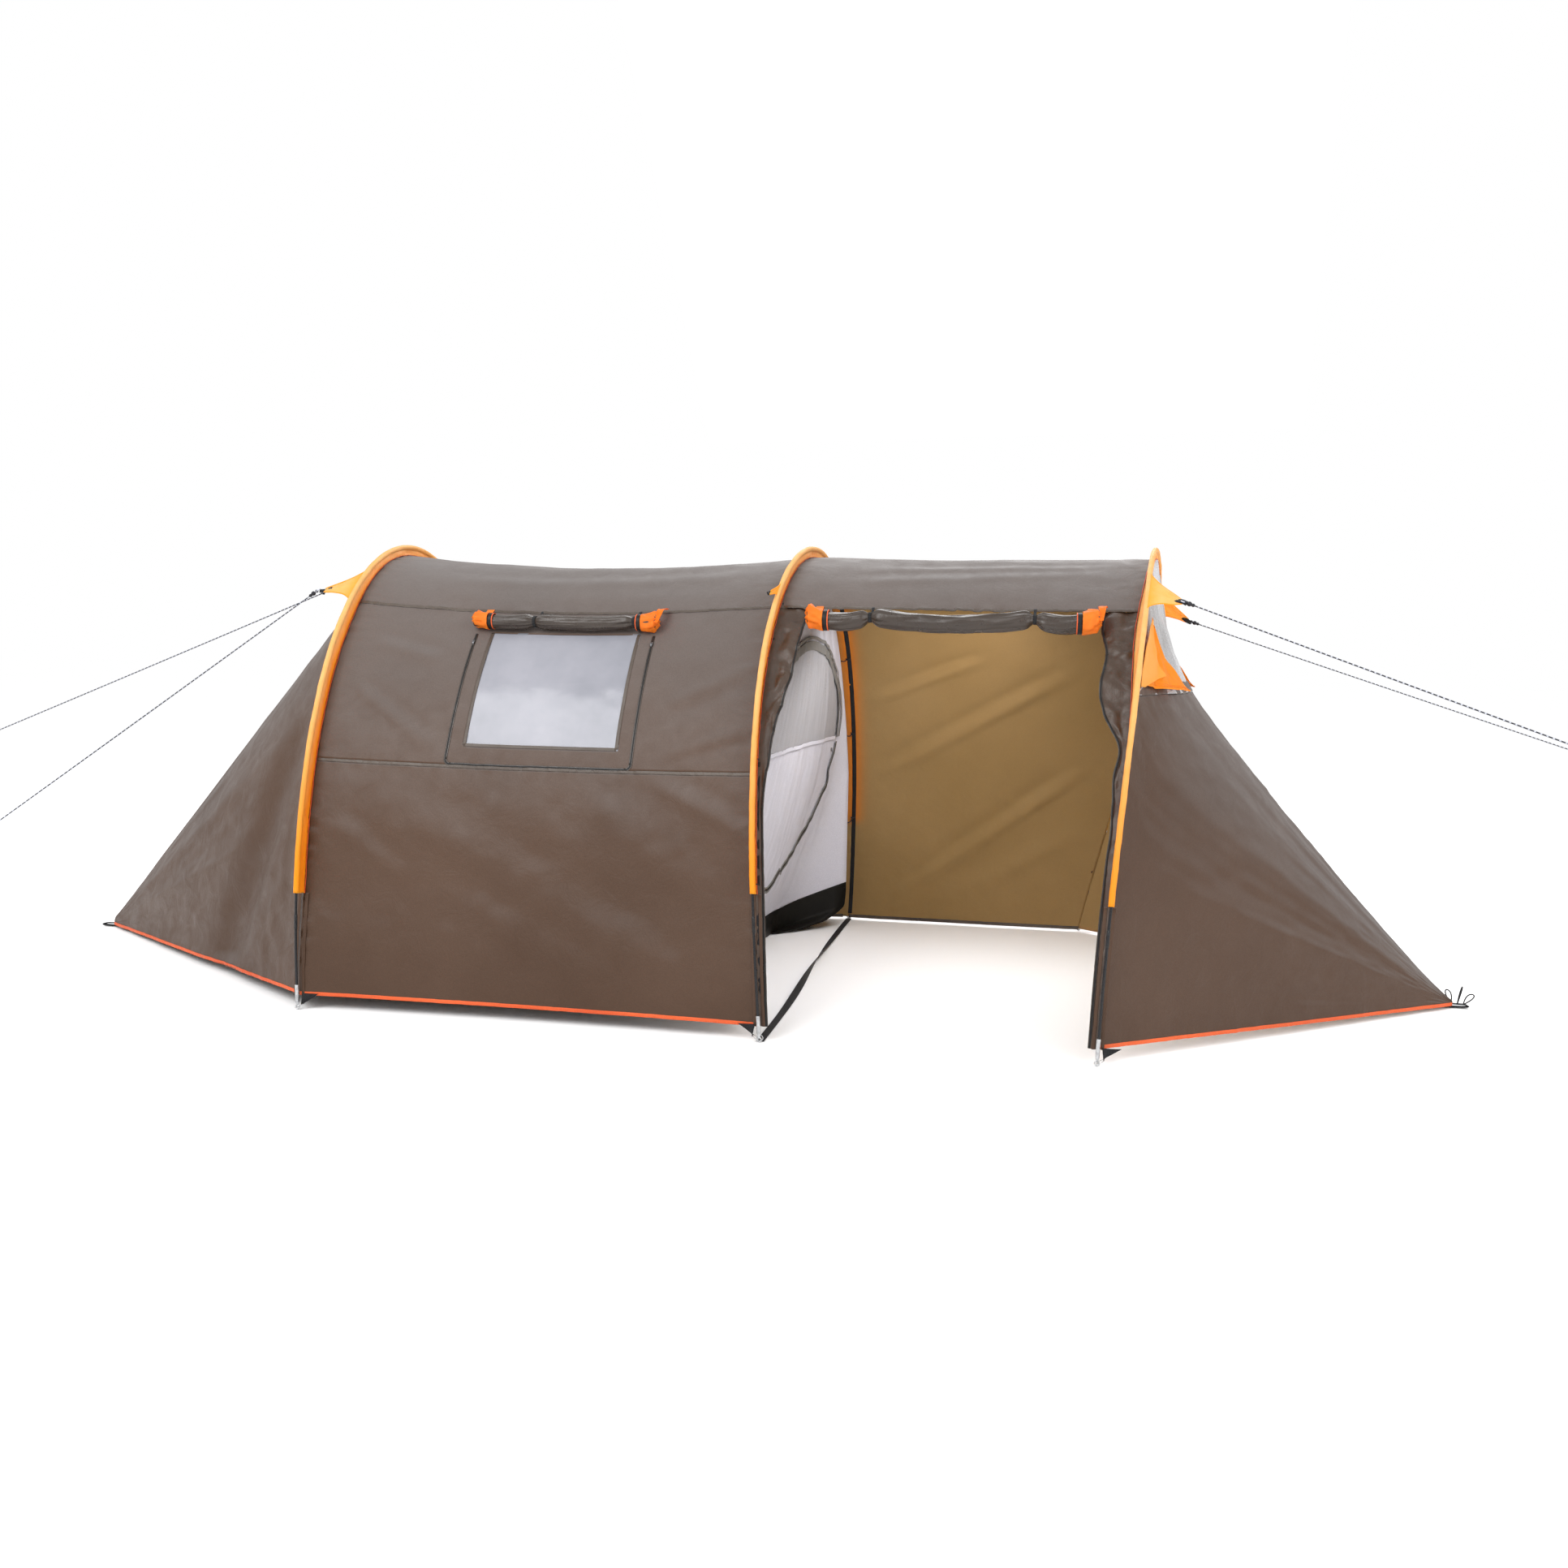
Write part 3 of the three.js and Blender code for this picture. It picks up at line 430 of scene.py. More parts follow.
# ---- mesh helpers --------------------------------------------------------------------------
def new_piece(name, verts, faces, material, slot, body="tent", round_it=True, uv=None, **marks):
    mesh = bpy.data.meshes.new(name)
    mesh.from_pydata(np.asarray(verts, float).reshape(-1, 3).tolist(), [], np.asarray(faces).tolist()
                     if isinstance(faces, np.ndarray) else faces)
    mesh.update()
    for key, values in marks.items():
        mesh.attributes.new(key, "FLOAT", "POINT").data.foreach_set("value", np.ravel(values).astype(np.float32))
    if uv is not None:
        flat = np.asarray(uv, np.float32).reshape(-1, 2)
        corner = np.empty(len(mesh.loops), np.int32)
        mesh.loops.foreach_get("vertex_index", corner)
        mesh.uv_layers.new(name="UVMap").data.foreach_set("uv", flat[corner].ravel())
    piece = bpy.data.objects.new(name, mesh)
    bpy.context.scene.collection.objects.link(piece)
    for each in material if isinstance(material, (list, tuple)) else [material]:
        mesh.materials.append(each)
    if round_it:
        mesh.shade_smooth()
    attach(piece, body)
    return piece


def grid_faces(rows, columns, wrap=False, keep=None):
    """Quads of a rows by columns grid of points, as an array of four indices each."""
    i, j = np.meshgrid(np.arange(rows - 1), np.arange(columns if wrap else columns - 1), indexing="ij")
    k = (j + 1) % columns
    faces = np.stack([i * columns + j, (i + 1) * columns + j, (i + 1) * columns + k, i * columns + k], -1)
    return faces[keep] if keep is not None else faces.reshape(-1, 4)


def cloth(name, surface, material, slot, nodes=(), inside=None, thick=CLOTH, keep=None, flip=False, **marks):
    """A thin shell over a grid of points (rows, columns, 3); its first side faces outwards."""
    faces = grid_faces(*surface.shape[:2], keep=keep)
    if flip:
        faces = faces[:, ::-1]
    piece = new_piece(name, surface, faces, [material] + ([inside] if inside else []), slot, **marks)
    shell = piece.modifiers.new("shell", "SOLIDIFY")
    shell.thickness, shell.offset, shell.use_quality_normals = thick, -1, True
    if inside:
        shell.material_offset = 1
    if nodes:
        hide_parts(*nodes)
    return piece


def area_of(surface, keep=None):
    a = surface[:-1, :-1], surface[1:, :-1], surface[1:, 1:], surface[:-1, 1:]
    cell = np.linalg.norm(np.cross(a[2] - a[0], a[3] - a[1]), axis=-1) / 2
    return float(cell[keep].sum() if keep is not None else cell.sum())


def declare(piece, surface, keep=None):
    """Works out a sheet's flat size from its own cloth, the longer run across its grid; the result is not used."""
    across = np.linalg.norm(np.diff(surface, axis=0), axis=-1).sum(0).max()
    along = np.linalg.norm(np.diff(surface, axis=1), axis=-1).sum(1).max()
    area = min(area_of(surface, keep), across * along)
    if area < 0.31 * across * along:
        along = area / (0.5 * across)


def frames_along(path, normals):
    """Tangent, sideways and outward directions along a path that lies on a surface."""
    tangent = unit(np.gradient(path, axis=0))
    side = unit(np.cross(normals, tangent))
    return tangent, side, unit(np.cross(tangent, side))


def sweep(name, path, normals, section, material, slot, nodes=(), body="tent", closed_ends=True, **marks):
    """Sweeps a closed section of (sideways, outward) points along a path; size may vary along it."""
    path, normals = np.asarray(path, float), np.broadcast_to(normals, np.shape(path))
    _, side, out = frames_along(path, normals)
    section = np.asarray(section, float)
    if section.ndim == 2:
        section = np.broadcast_to(section, (len(path), *section.shape))
    rings = path[:, None] + side[:, None] * section[..., :1] + out[:, None] * section[..., 1:]
    count = section.shape[1]
    faces = grid_faces(len(path), count, wrap=True).tolist()
    if closed_ends:
        faces += [list(range(count)), list(range(len(path) * count - 1, (len(path) - 1) * count - 1, -1))]
    length = np.concatenate([[0], np.cumsum(np.linalg.norm(np.diff(path, axis=0), axis=1))])
    uv = points(*np.broadcast_arrays(np.linspace(0, 1, count)[None, :], length[:, None]), 0.0)[..., :2]
    piece = new_piece(name, rings, faces, material, slot, body, uv=uv, **marks)
    fix_winding(piece)
    if nodes:
        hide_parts(*nodes)
    return piece


def fix_winding(piece):
    mesh = bmesh.new()
    mesh.from_mesh(piece.data)
    bmesh.ops.recalc_face_normals(mesh, faces=mesh.faces)
    if mesh.calc_volume(signed=True) < 0:
        bmesh.ops.reverse_faces(mesh, faces=mesh.faces)
    mesh.to_mesh(piece.data)
    mesh.free()


def oval(width, height, count=12, lift=0.0, power=1.0):
    """Section of a strip or rod: an ellipse, squarer where power is under 1."""
    a = np.linspace(0, 2 * PI, count, endpoint=False)
    c, s = np.cos(a), np.sin(a)
    return np.stack([width / 2 * np.sign(c) * abs(c) ** power, height / 2 * np.sign(s) * abs(s) ** power + lift], -1)


def strip(name, path, normals, width, height, material, slot, lift=0.0, **more):
    return sweep(name, path, normals, oval(width, height, 12, lift, 0.5), material, slot, **more)


def tube(name, path, radius, material, slot, count=12, **more):
    path = np.asarray(path, float)
    run = unit(path[-1] - path[0])
    spare = np.array([0.0, 0, 1]) if abs(run[2]) < 0.9 else np.array([1.0, 0, 0])
    radius = np.broadcast_to(radius, len(path))
    ring = oval(2, 2, count)[None] * radius[:, None, None]
    return sweep(name, path, np.broadcast_to(spare, path.shape), ring, material, slot, **more)


# ---- guylines ------------------------------------------------------------------------------
CORD_R, CORD_SAG = 0.002, 0.0005
CORDS = {
    "rear_cord_side": ((-1.350, -0.486, 1.342), (-2.259, -1.000, 0.528)),
    "rear_cord_end": ((-1.340, -0.461, 1.337), (-2.813, -0.350, 0.787)),
    "front_cord_near": ((1.557, -0.505, 1.334), (2.540, -0.950, 0.944)),
    "front_cord_far": ((1.682, 0.505, 1.301), (3.160, 0.750, 0.828)),
}


def knot_points(end, direction):
    """An overhand knot with a small eye beyond it, for the far end of a guyline."""
    t = np.linspace(0, 1, 90)[:, None]
    up = unit(np.cross(direction, [0, 0, 1.0]))
    side = unit(np.cross(direction, up))
    turn = 2 * PI * t
    knot = direction * (0.004 * np.sin(2 * turn)) + up * 0.0058 * np.cos(turn * 2) + side * 0.0058 * np.sin(3 * turn)
    eye = direction * (0.030 * np.sin(PI * t)) + side * (0.011 * np.sin(2 * PI * t))
    return end + direction * 0.004 + np.vstack([knot, direction * 0.004 + eye])


def make_cord(name, start, end):
    start, end = np.array(start), np.array(end)
    t = np.linspace(0, 1, 31)
    path = lerp(start, end, t[:, None])
    path[:, 2] -= 4 * t * (1 - t) * CORD_SAG * np.linalg.norm(end - start)
    line = tube(name + "_braid", path, CORD_R, CORD, "guyline", 12, nodes=[name])
    knot = tube(name + "_knot", knot_points(end, unit(end - start)), CORD_R * 0.95, CORD, "guyline", 8)


for cord_name, cord_ends in CORDS.items():
    make_cord(cord_name, *cord_ends)


# ---- how the cloth lies: puckers at seams, long folds, and small unevenness -----------------
def fold(a, b, start, end, width, height, valley=0.6):
    """A soft ridge from start to end over the plane (a, b), with a shallower valley beside it."""
    start, end = np.array(start, float), np.array(end, float)
    run = end - start
    length = np.hypot(*run)
    t = ((a - start[0]) * run[0] + (b - start[1]) * run[1]) / length**2
    off = ((b - start[1]) * run[0] - (a - start[0]) * run[1]) / length / width
    fade = smooth(t / 0.25) * smooth((1 - t) / 0.25)
    return height * fade * (np.exp(-off**2) - valley * np.exp(-((off - 1.9) ** 2)))


def pucker(along, away, height, reach, wave, seed):
    """Short creases that stand across a seam and die away from it."""
    grain = noise(along / wave, away / (wave * 4) + seed, seed) + 0.5 * noise(along / wave * 2.3, away / wave, seed + 1)
    patchy = 0.55 + 0.45 * noise(along / (wave * 7), away * 0 + 3.5, seed + 2)
    return height * grain * patchy * np.exp(-np.abs(away) / reach)


NEAR_FOLDS = [  # (x, length of cloth from the near foot) of both ends, width, height
    ((-1.05, 0.72), (0.20, 0.10), 0.060, 0.0034),
    ((-0.95, 0.50), (0.05, 0.05), 0.050, 0.0022),
    ((-0.35, 0.78), (0.32, 0.30), 0.055, 0.0026),
    ((-1.15, 1.10), (-0.80, 0.86), 0.022, 0.0030),
    ((-1.13, 1.27), (-0.83, 1.20), 0.025, 0.0028),
    ((0.30, 1.22), (-0.08, 1.02), 0.025, 0.0030),
    ((0.31, 0.98), (-0.05, 0.86), 0.020, 0.0022),
    ((-0.10, 0.80), (0.30, 0.60), 0.030, 0.0030),
    ((-1.14, 0.62), (-0.80, 0.40), 0.030, 0.0022),
]
FAR_FOLDS = [  # the same on the far side of the front bay, from the far foot
    ((0.42, 0.62), (1.30, 1.18), 0.028, 0.0100),
    ((0.48, 0.06), (1.36, 0.74), 0.028, 0.0125),
    ((0.40, 0.98), (0.95, 1.24), 0.024, 0.0070),
    ((0.75, 0.10), (1.36, 0.46), 0.040, 0.0060),
]
ROOF_FOLDS = [
    ((-1.05, 1.60), (0.25, 1.66), 0.035, 0.0030),
    ((-0.95, 1.76), (0.28, 1.80), 0.045, 0.0035),
    ((0.42, 1.58), (1.40, 1.66), 0.026, 0.0035),
    ((0.50, 1.68), (1.42, 1.72), 0.022, 0.0030),
    ((0.45, 1.82), (1.30, 1.78), 0.035, 0.0030),
]


def bay_lift(bay, x, angle):
    """How far the cloth of a bay stands off its smooth shape."""
    ends = BAYS[bay]["ends"]
    a, b = fly_at(ends[0], angle)[..., 0], fly_at(ends[1], angle)[..., 0]
    s, whole = arc(angle), arc(PI)
    lift = pucker(s, x - a, 0.0040, 0.045, 0.021, 11) + pucker(s, b - x, 0.0040, 0.045, 0.021, 23)
    for seam, height, seed in ((ROOF_SEAM, 0.0038, 31), (FAR_SEAM, 0.0016, 37), (NEAR_HEM, 0.0026, 41),
                               (FAR_HEM, 0.0022, 43)):
        lift += pucker(x, s - arc(seam), height, 0.035, 0.021, seed)
    folds = ROOF_FOLDS
    if bay == "rear":
        lift += pucker(x, s - arc(LOW_SEAM), 0.0024, 0.032, 0.020, 53) * (s < 1.2)
        folds = folds + NEAR_FOLDS
    for start, end, width, height in folds:
        lift += fold(x, s, start, end, width, height)
    for start, end, width, height in FAR_FOLDS:
        lift -= fold(x, whole - s, start, end, width, height)
    edge = smooth((x - a) / 0.06) * smooth((b - x) / 0.06)
    return lift + edge * (0.0022 * noise(x * 5, s * 5, 61) + 0.0009 * noise(x * 19, s * 19, 67))


def bay_surface(bay, x, angle, lift=0.0):
    return bay_point(bay, x, angle, bay_lift(bay, x, angle) + lift)


def bay_grid(bay, angles, columns, left=None, right=None):
    """Points of a bay's cloth, one row an angle, between its hoops or two x functions of the angle."""
    ends = BAYS[bay]["ends"]
    angle = np.asarray(angles)[:, None]
    x0 = fly_at(ends[0], angle)[..., 0] if left is None else left(angle)
    x1 = fly_at(ends[1], angle)[..., 0] if right is None else right(angle)
    return bay_surface(bay, lerp(x0, x1, np.linspace(0, 1, columns)), angle)


def steps(low, high, size=0.011, radius=1.3):
    return np.linspace(low, high, max(2, round(abs(high - low) * radius / size)))


# ---- fly: roofs and walls ------------------------------------------------------------------
def sleeve_glow(bay, surface):
    """How strongly painted orange light, which shines through the middle hoop's sleeve, shows on the inside of the
    cloth beside it.
    """
    hoop_x = surface[:, :1, 0] if bay == "front" else surface[:, -1:, 0]
    away = np.abs(surface[..., 0] - hoop_x)
    return np.exp(-((away / 0.036) ** 1.8)) * smooth((surface[..., 2] - 0.41) / 0.06)


def make_bay_panels():
    for bay in BAYS:
        columns = 142 if bay == "rear" else 110
        for part, low, high in (("roof", ROOF_SEAM, FAR_SEAM), ("wall_far", FAR_SEAM, FAR_HEM)):
            surface = bay_grid(bay, steps(low, high), columns)
            piece = cloth(f"{bay}_{part}_cloth", surface, FLY_OUT, "fly_cloth", [f"{bay}_{part}"], FLY_IN, flip=True,
                          glow=sleeve_glow(bay, surface))
            declare(piece, surface)
    surface = bay_grid("rear", steps(NEAR_HEM, LOW_SEAM, 0.010), 150)
    piece = cloth("rear_wall_near_lower_cloth", surface, FLY_OUT, "fly_cloth", ["rear_wall_near_lower"], FLY_IN, flip=True)
    declare(piece, surface)


def window_angles():
    return angle_at(WINDOW["low"]), angle_at(WINDOW["high"])


def make_window_wall():
    """The wall round the window, with its opening left out of the grid."""
    low, high = window_angles()
    rows = np.concatenate([steps(LOW_SEAM, low)[:-1], steps(low, high)[:-1], steps(high, ROOF_SEAM)])
    angle = rows[:, None]
    x0, x1 = fly_at("rear", angle)[..., 0], fly_at("middle", angle)[..., 0]
    left = lerp(x0, WINDOW["x0"], np.linspace(0, 1, 46))
    middle = np.broadcast_to(np.linspace(WINDOW["x0"], WINDOW["x1"], 50), (len(rows), 50))
    right = lerp(WINDOW["x1"], x1, np.linspace(0, 1, 52))
    x = np.concatenate([left[:, :-1], middle, right[:, 1:]], axis=1)
    surface = bay_surface("rear", x, angle)
    keep = np.ones((len(rows) - 1, x.shape[1] - 1), bool)
    inside = (rows[:-1] >= low - 1e-9) & (rows[1:] <= high + 1e-9)
    keep[np.ix_(inside, np.arange(45, 45 + 49))] = False
    piece = cloth("rear_wall_near_upper_cloth", surface, FLY_OUT, "fly_cloth", ["rear_wall_near_upper"], FLY_IN,
                  keep=keep, flip=True)
    declare(piece, surface, keep)


def make_window_pane():
    low, high = window_angles()
    grow = 0.006
    angle = steps(low - grow / 1.4, high + grow / 1.4, 0.012)[:, None]
    x = np.linspace(WINDOW["x0"] - grow, WINDOW["x1"] + grow, 44)[None]
    dents = 0.0016 * noise(x * 6, angle * 8, 71) + 0.0007 * noise(x * 17, angle * 24, 73)
    surface = bay_point("rear", x, angle, dents - 0.0016)
    piece = cloth("window_pane_film", surface, FILM, "clear_film", ["window_pane"], thick=0.0006, flip=True)
    declare(piece, surface)


make_bay_panels()
make_window_wall()
make_window_pane()


# ---- fly: end wedges -----------------------------------------------------------------------
def wedge_lift(wedge, u, angle):
    s, hoop_side = arc(angle), u * 1.6
    spread = np.maximum(1 - u, 0.05)
    lift = pucker(s, hoop_side, 0.0036, 0.05, 0.021, 81)
    lift += pucker(hoop_side, (angle - PI / 2) * spread * 1.2, 0.0024, 0.05, 0.030, 83)
    for seam in (NEAR_HEM, FAR_HEM):
        lift += pucker(hoop_side, (angle - seam) * spread * 1.2, 0.0022, 0.04, 0.026, 87)
    rays = noise(angle * 7, u * 1.5, 91) * 0.006 + noise(angle * 19, u * 2, 93) * 0.0022
    lift += rays * smooth(u / 0.08) * smooth((1 - u) / 0.5)
    lift += 0.004 * noise(angle * 30, u * 9, 97) * smooth((u - 0.86) / 0.14) * (1 - u) / 0.14
    return lift + 0.0012 * noise(u * 26, s * 13, 99) * smooth(u / 0.05)


def rear_slack(u, angle):
    """The rear wedge is slack beside its hoop: one soft valley that runs down from the hoop to the hem."""
    s = arc(angle)
    centre = 0.12 + 0.22 * smooth((1.1 - s) / 1.1)
    along = smooth(s / 0.15) * smooth((1.25 - s) / 0.5)
    valley = -0.030 * np.exp(-(((u - centre) / 0.07) ** 2))
    crumple = 0.0040 * noise(u * 30, s * 11, 98) * np.exp(-(((u - 0.5 * centre) / 0.09) ** 2)) * smooth(u / 0.03)
    return (valley + crumple) * along


def wedge_surface(wedge, u, angle, lift=0.0):
    u, angle = np.broadcast_arrays(np.asarray(u, float), np.asarray(angle, float))
    slack = rear_slack(u, angle) if wedge == "rear" else 0.0
    return wedge_point(wedge, u, angle, wedge_lift(wedge, u, angle) + slack + lift)


def vent_reach(angle, height=VENT_Z):
    """Share of the way down the front wedge at which the vent's bottom edge, or a height, lies."""
    low, high = np.zeros(np.shape(angle)), np.full(np.shape(angle), 0.5)
    for _ in range(30):
        middle = (low + high) / 2
        higher = on_wedge("front", middle, angle)[..., 2] > height
        low, high = np.where(higher, middle, low), np.where(higher, high, middle)
    return np.where(fly_at("front", angle)[..., 2] > height, low, 0.0)


def make_wedges():
    for wedge in WEDGES:
        for side, low, high in (("near", NEAR_HEM, PI / 2), ("far", PI / 2, FAR_HEM)):
            angle = steps(low, high, 0.013)[None]
            start = vent_reach(angle) if wedge == "front" else 0.0
            u = lerp(start, 0.985, np.linspace(0, 1, 130)[:, None] ** 1.25)
            surface = wedge_surface(wedge, u, angle)
            piece = cloth(f"{wedge}_wedge_{side}_cloth", surface, FLY_OUT, "fly_cloth", [f"{wedge}_wedge_{side}"],
                          FLY_IN, flip=wedge == "rear")
            declare(piece, surface)


make_wedges()


# ---- poles, sleeves, pole ends and rings ---------------------------------------------------
SLEEVE_R = 0.009
PIN_TOP, EYE_Z = 0.080, 0.009
POLE_START_Z = 0.030
RING_R, RING_WIRE, RING_TILT = 0.0115, 0.0009, PI / 6


def far_side(angle, far):
    return PI - angle if far else angle


def foot_axis(name, far):
    """The line of a pole end: a function from height to the point of its centre line."""
    low, high = (hoop_point(name, far_side(math.asin(z / POLE_TOP), far)) for z in (POLE_START_Z, PIN_TOP))
    slope = (high - low) / (high[2] - low[2])
    return lambda z: low + slope * (np.asarray(z, float)[..., None] - low[2])


def make_pole(name):
    start = math.asin(POLE_START_Z / POLE_TOP)
    angle = np.linspace(start, PI - start, 260)
    tube(name + "_pole_rod", hoop_point(name, angle), POLE_R, ROD, "pole_rod", 14, nodes=[name + "_pole"])
    for far in (False, True):
        joint = far_side(math.asin((HOOPS[name]["sleeve_end"] - 0.09) / POLE_TOP), far)
        span = joint + np.array([-0.016, -0.015, 0.015, 0.016])
        side = "far" if far else "near"
        tube(f"{name}_pole_ferrule_{side}", hoop_point(name, span), [0.0043, 0.0052, 0.0052, 0.0043], ROD,
             "pole_rod", 14)


def sleeve_spread(name, angle):
    """How far the front sleeve's rear edge spreads over the fly below its near guy tab."""
    height = POLE_TOP * np.sin(angle)
    bulge = np.exp(-(((height - 1.27) / 0.20) ** 2)) * smooth((PI / 2 - angle) / 0.2)
    return 0.020 * bulge if name == "front" else 0.0 * bulge


def make_sleeve(name):
    """A ribbon that goes up one side of the fin, round the pole and down the other side."""
    end = math.asin(HOOPS[name]["sleeve_end"] / POLE_TOP)
    angle = np.linspace(end, PI - end, 340)[:, None]
    s = arc(angle)
    depth = fly_inset(angle) + 0.001
    around = np.linspace(-PI / 2 + 0.22, 1.5 * PI - 0.22, 17)[None]
    radius = SLEEVE_R * (1 + 0.08 * noise(s / 0.05, around * 1.2, 101) + 0.05 * noise(s / 0.016, around * 2, 103))
    fin = np.linspace(0, 1, 7)[None, :-1]
    fin_out = lerp(-depth, -SLEEVE_R, fin)
    rear_side = -0.0018 - sleeve_spread(name, angle) * (1 - fin[:, ::-1]) ** 1.2
    across = np.concatenate([0 * fin_out + 0.0018, radius * np.cos(around), rear_side], axis=1)
    out = np.concatenate([fin_out, radius * np.sin(around), fin_out[:, ::-1]], axis=1)
    slack = np.sin(PI * np.clip((out + depth) / (depth - SLEEVE_R), 0, 1)) * (out < -SLEEVE_R * 0.9)
    across = across + slack * (0.0034 * noise(s / 0.035, out / 0.02, 107) + 0.0016 * noise(s / 0.012, out / 0.03, 109))
    surface = hoop_point(name, angle, 0.0) + outward(angle) * out[..., None]
    surface[..., 0] += across
    # Painted light: the sleeve is paler higher up, on the near side, round the pole and where it spreads over the fly.
    near = smooth((PI / 2 - angle) / 0.5 + 0.5)
    pale = smooth((out + 0.044) / 0.030) * smooth((surface[..., 2] - 0.40) / 0.75) * lerp(0.35, 1.0, near)
    pale = np.maximum(pale, sleeve_spread(name, angle) / 0.022)
    piece = cloth(name + "_sleeve_cloth", surface, ORANGE, "orange_cloth", [name + "_sleeve"], ORANGE, pale=pale)
    declare(piece, surface)


def make_pin(name, far):
    side = "far" if far else "near"
    axis = foot_axis(name, far)
    z = np.array([0.0165, 0.0175, 0.022, 0.030, 0.074, 0.077, 0.0795, 0.080])
    radius = [0.0030, 0.0042, 0.0054, 0.0060, 0.0060, 0.0064, 0.0062, 0.0056]
    tube(f"{name}_pin_{side}", axis(z), radius, STEEL, "pin_steel", 20, nodes=[f"{name}_pole_end_{side}"])
    ring_mesh(f"{name}_pin_eye_{side}", axis(EYE_Z), (1, 0, 0), (0, 0, 1), 0.0060, 0.0026, STEEL, "pin_steel")


def ring_mesh(name, centre, a, b, radius, wire, material, slot, body="tent", nodes=()):
    """A torus of a given wire radius in the plane of two unit vectors."""
    turn = np.linspace(0, 2 * PI, 48, endpoint=False)[:, None]
    a, b = np.array(a, float), np.array(b, float)
    out = np.cos(turn) * a + np.sin(turn) * b
    axis = np.cross(a, b)
    loop = np.linspace(0, 2 * PI, 12, endpoint=False)
    verts = np.array(centre) + (radius + wire * np.cos(loop)[None, :, None]) * out[:, None] \
        + wire * np.sin(loop)[None, :, None] * axis
    closed = np.concatenate([verts, verts[:1]])
    faces = grid_faces(len(closed), 12, wrap=True) % (48 * 12)
    piece = new_piece(name, verts, faces, material, slot, body)
    fix_winding(piece)
    if nodes:
        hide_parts(*nodes)
    return piece


def make_ring(name, far):
    node = f"{name}_ring_{'far' if far else 'near'}"
    side = HOOPS[name]["ring"]
    along = np.array([side * math.cos(RING_TILT), 0, math.sin(RING_TILT)])
    centre = foot_axis(name, far)(EYE_Z) + along * RING_R
    ring_mesh(node + "_wire", centre, along, (0, 1, 0), RING_R, RING_WIRE, STEEL, "pin_steel", node, [node])


for hoop_name in HOOPS:
    make_pole(hoop_name)
    make_sleeve(hoop_name)
    for is_far in (False, True):
        make_pin(hoop_name, is_far)
        make_ring(hoop_name, is_far)


# ---- seams, piping, bindings and zips on the fly -------------------------------------------
def line_on_bay(name, bay, x, angle, width, height, material, slot, lift=0.0, **more):
    x, angle = np.broadcast_arrays(np.asarray(x, float), np.asarray(angle, float))
    path = bay_surface(bay, x, angle, lift)
    return strip(name, path, outward(angle), width, height, material, slot, **more)


def line_on_wedge(name, wedge, u, angle, width, height, material, slot, lift=0.0, **more):
    u, angle = np.broadcast_arrays(np.asarray(u, float), np.asarray(angle, float))
    path = wedge_surface(wedge, u, angle, lift)
    normals = unit(wedge_surface(wedge, u, angle, lift + 0.01) - path)
    return strip(name, path, normals, width, height, material, slot, **more)


def make_hoop_edges(name):
    """Beside each hoop: red-orange piping along the sleeve, and a dark seam on both sides below it."""
    end = math.asin(HOOPS[name]["sleeve_end"] / POLE_TOP)
    for side, tag in ((-1, "rear"), (1, "front")):
        angle = np.linspace(end, PI - end, 420)
        path = fly_at(name, angle) + outward(angle) * 0.0020
        spread = sleeve_spread(name, angle) if side < 0 else 0.0
        path[:, 0] += side * (0.0045 + 0.0008 * noise(arc(angle) / 0.02, angle * 0, 111) + spread)
        strip(f"{name}_piping_{tag}", path, outward(angle), 0.0020, 0.0018, BINDING, "orange_cloth")
        for part, low, high in (("near", NEAR_HEM, end), ("far", PI - end, FAR_HEM)):
            angle = np.linspace(low, high, 120)
            path = fly_at(name, angle) + outward(angle) * 0.0010
            path[:, 0] += side * (0.0125 + 0.0008 * noise(arc(angle) / 0.03, angle * 0, 113))
            strip(f"{name}_edge_seam_{tag}_{part}", path, outward(angle), 0.0100, 0.0016, FLY_OUT, "fly_cloth")


def bay_ends(bay, angle):
    return tuple(fly_at(end, angle)[..., 0] for end in BAYS[bay]["ends"])


def seam_across(name, bay, angle, material=SEAM, width=0.011, height=0.0018, lift=0.0008):
    a, b = bay_ends(bay, np.array(angle))
    x = np.linspace(a + 0.004, b - 0.004, 260)
    swell = noise(x / 0.016, x * 0 + 0.5, 121) * 0.0008
    line_on_bay(name, bay, x, angle, width, height, material, "fly_cloth", lift=lift + swell)


RING_CLEAR = 0.026  # the rear bay's far hem stops short of the rings that swing at its ends


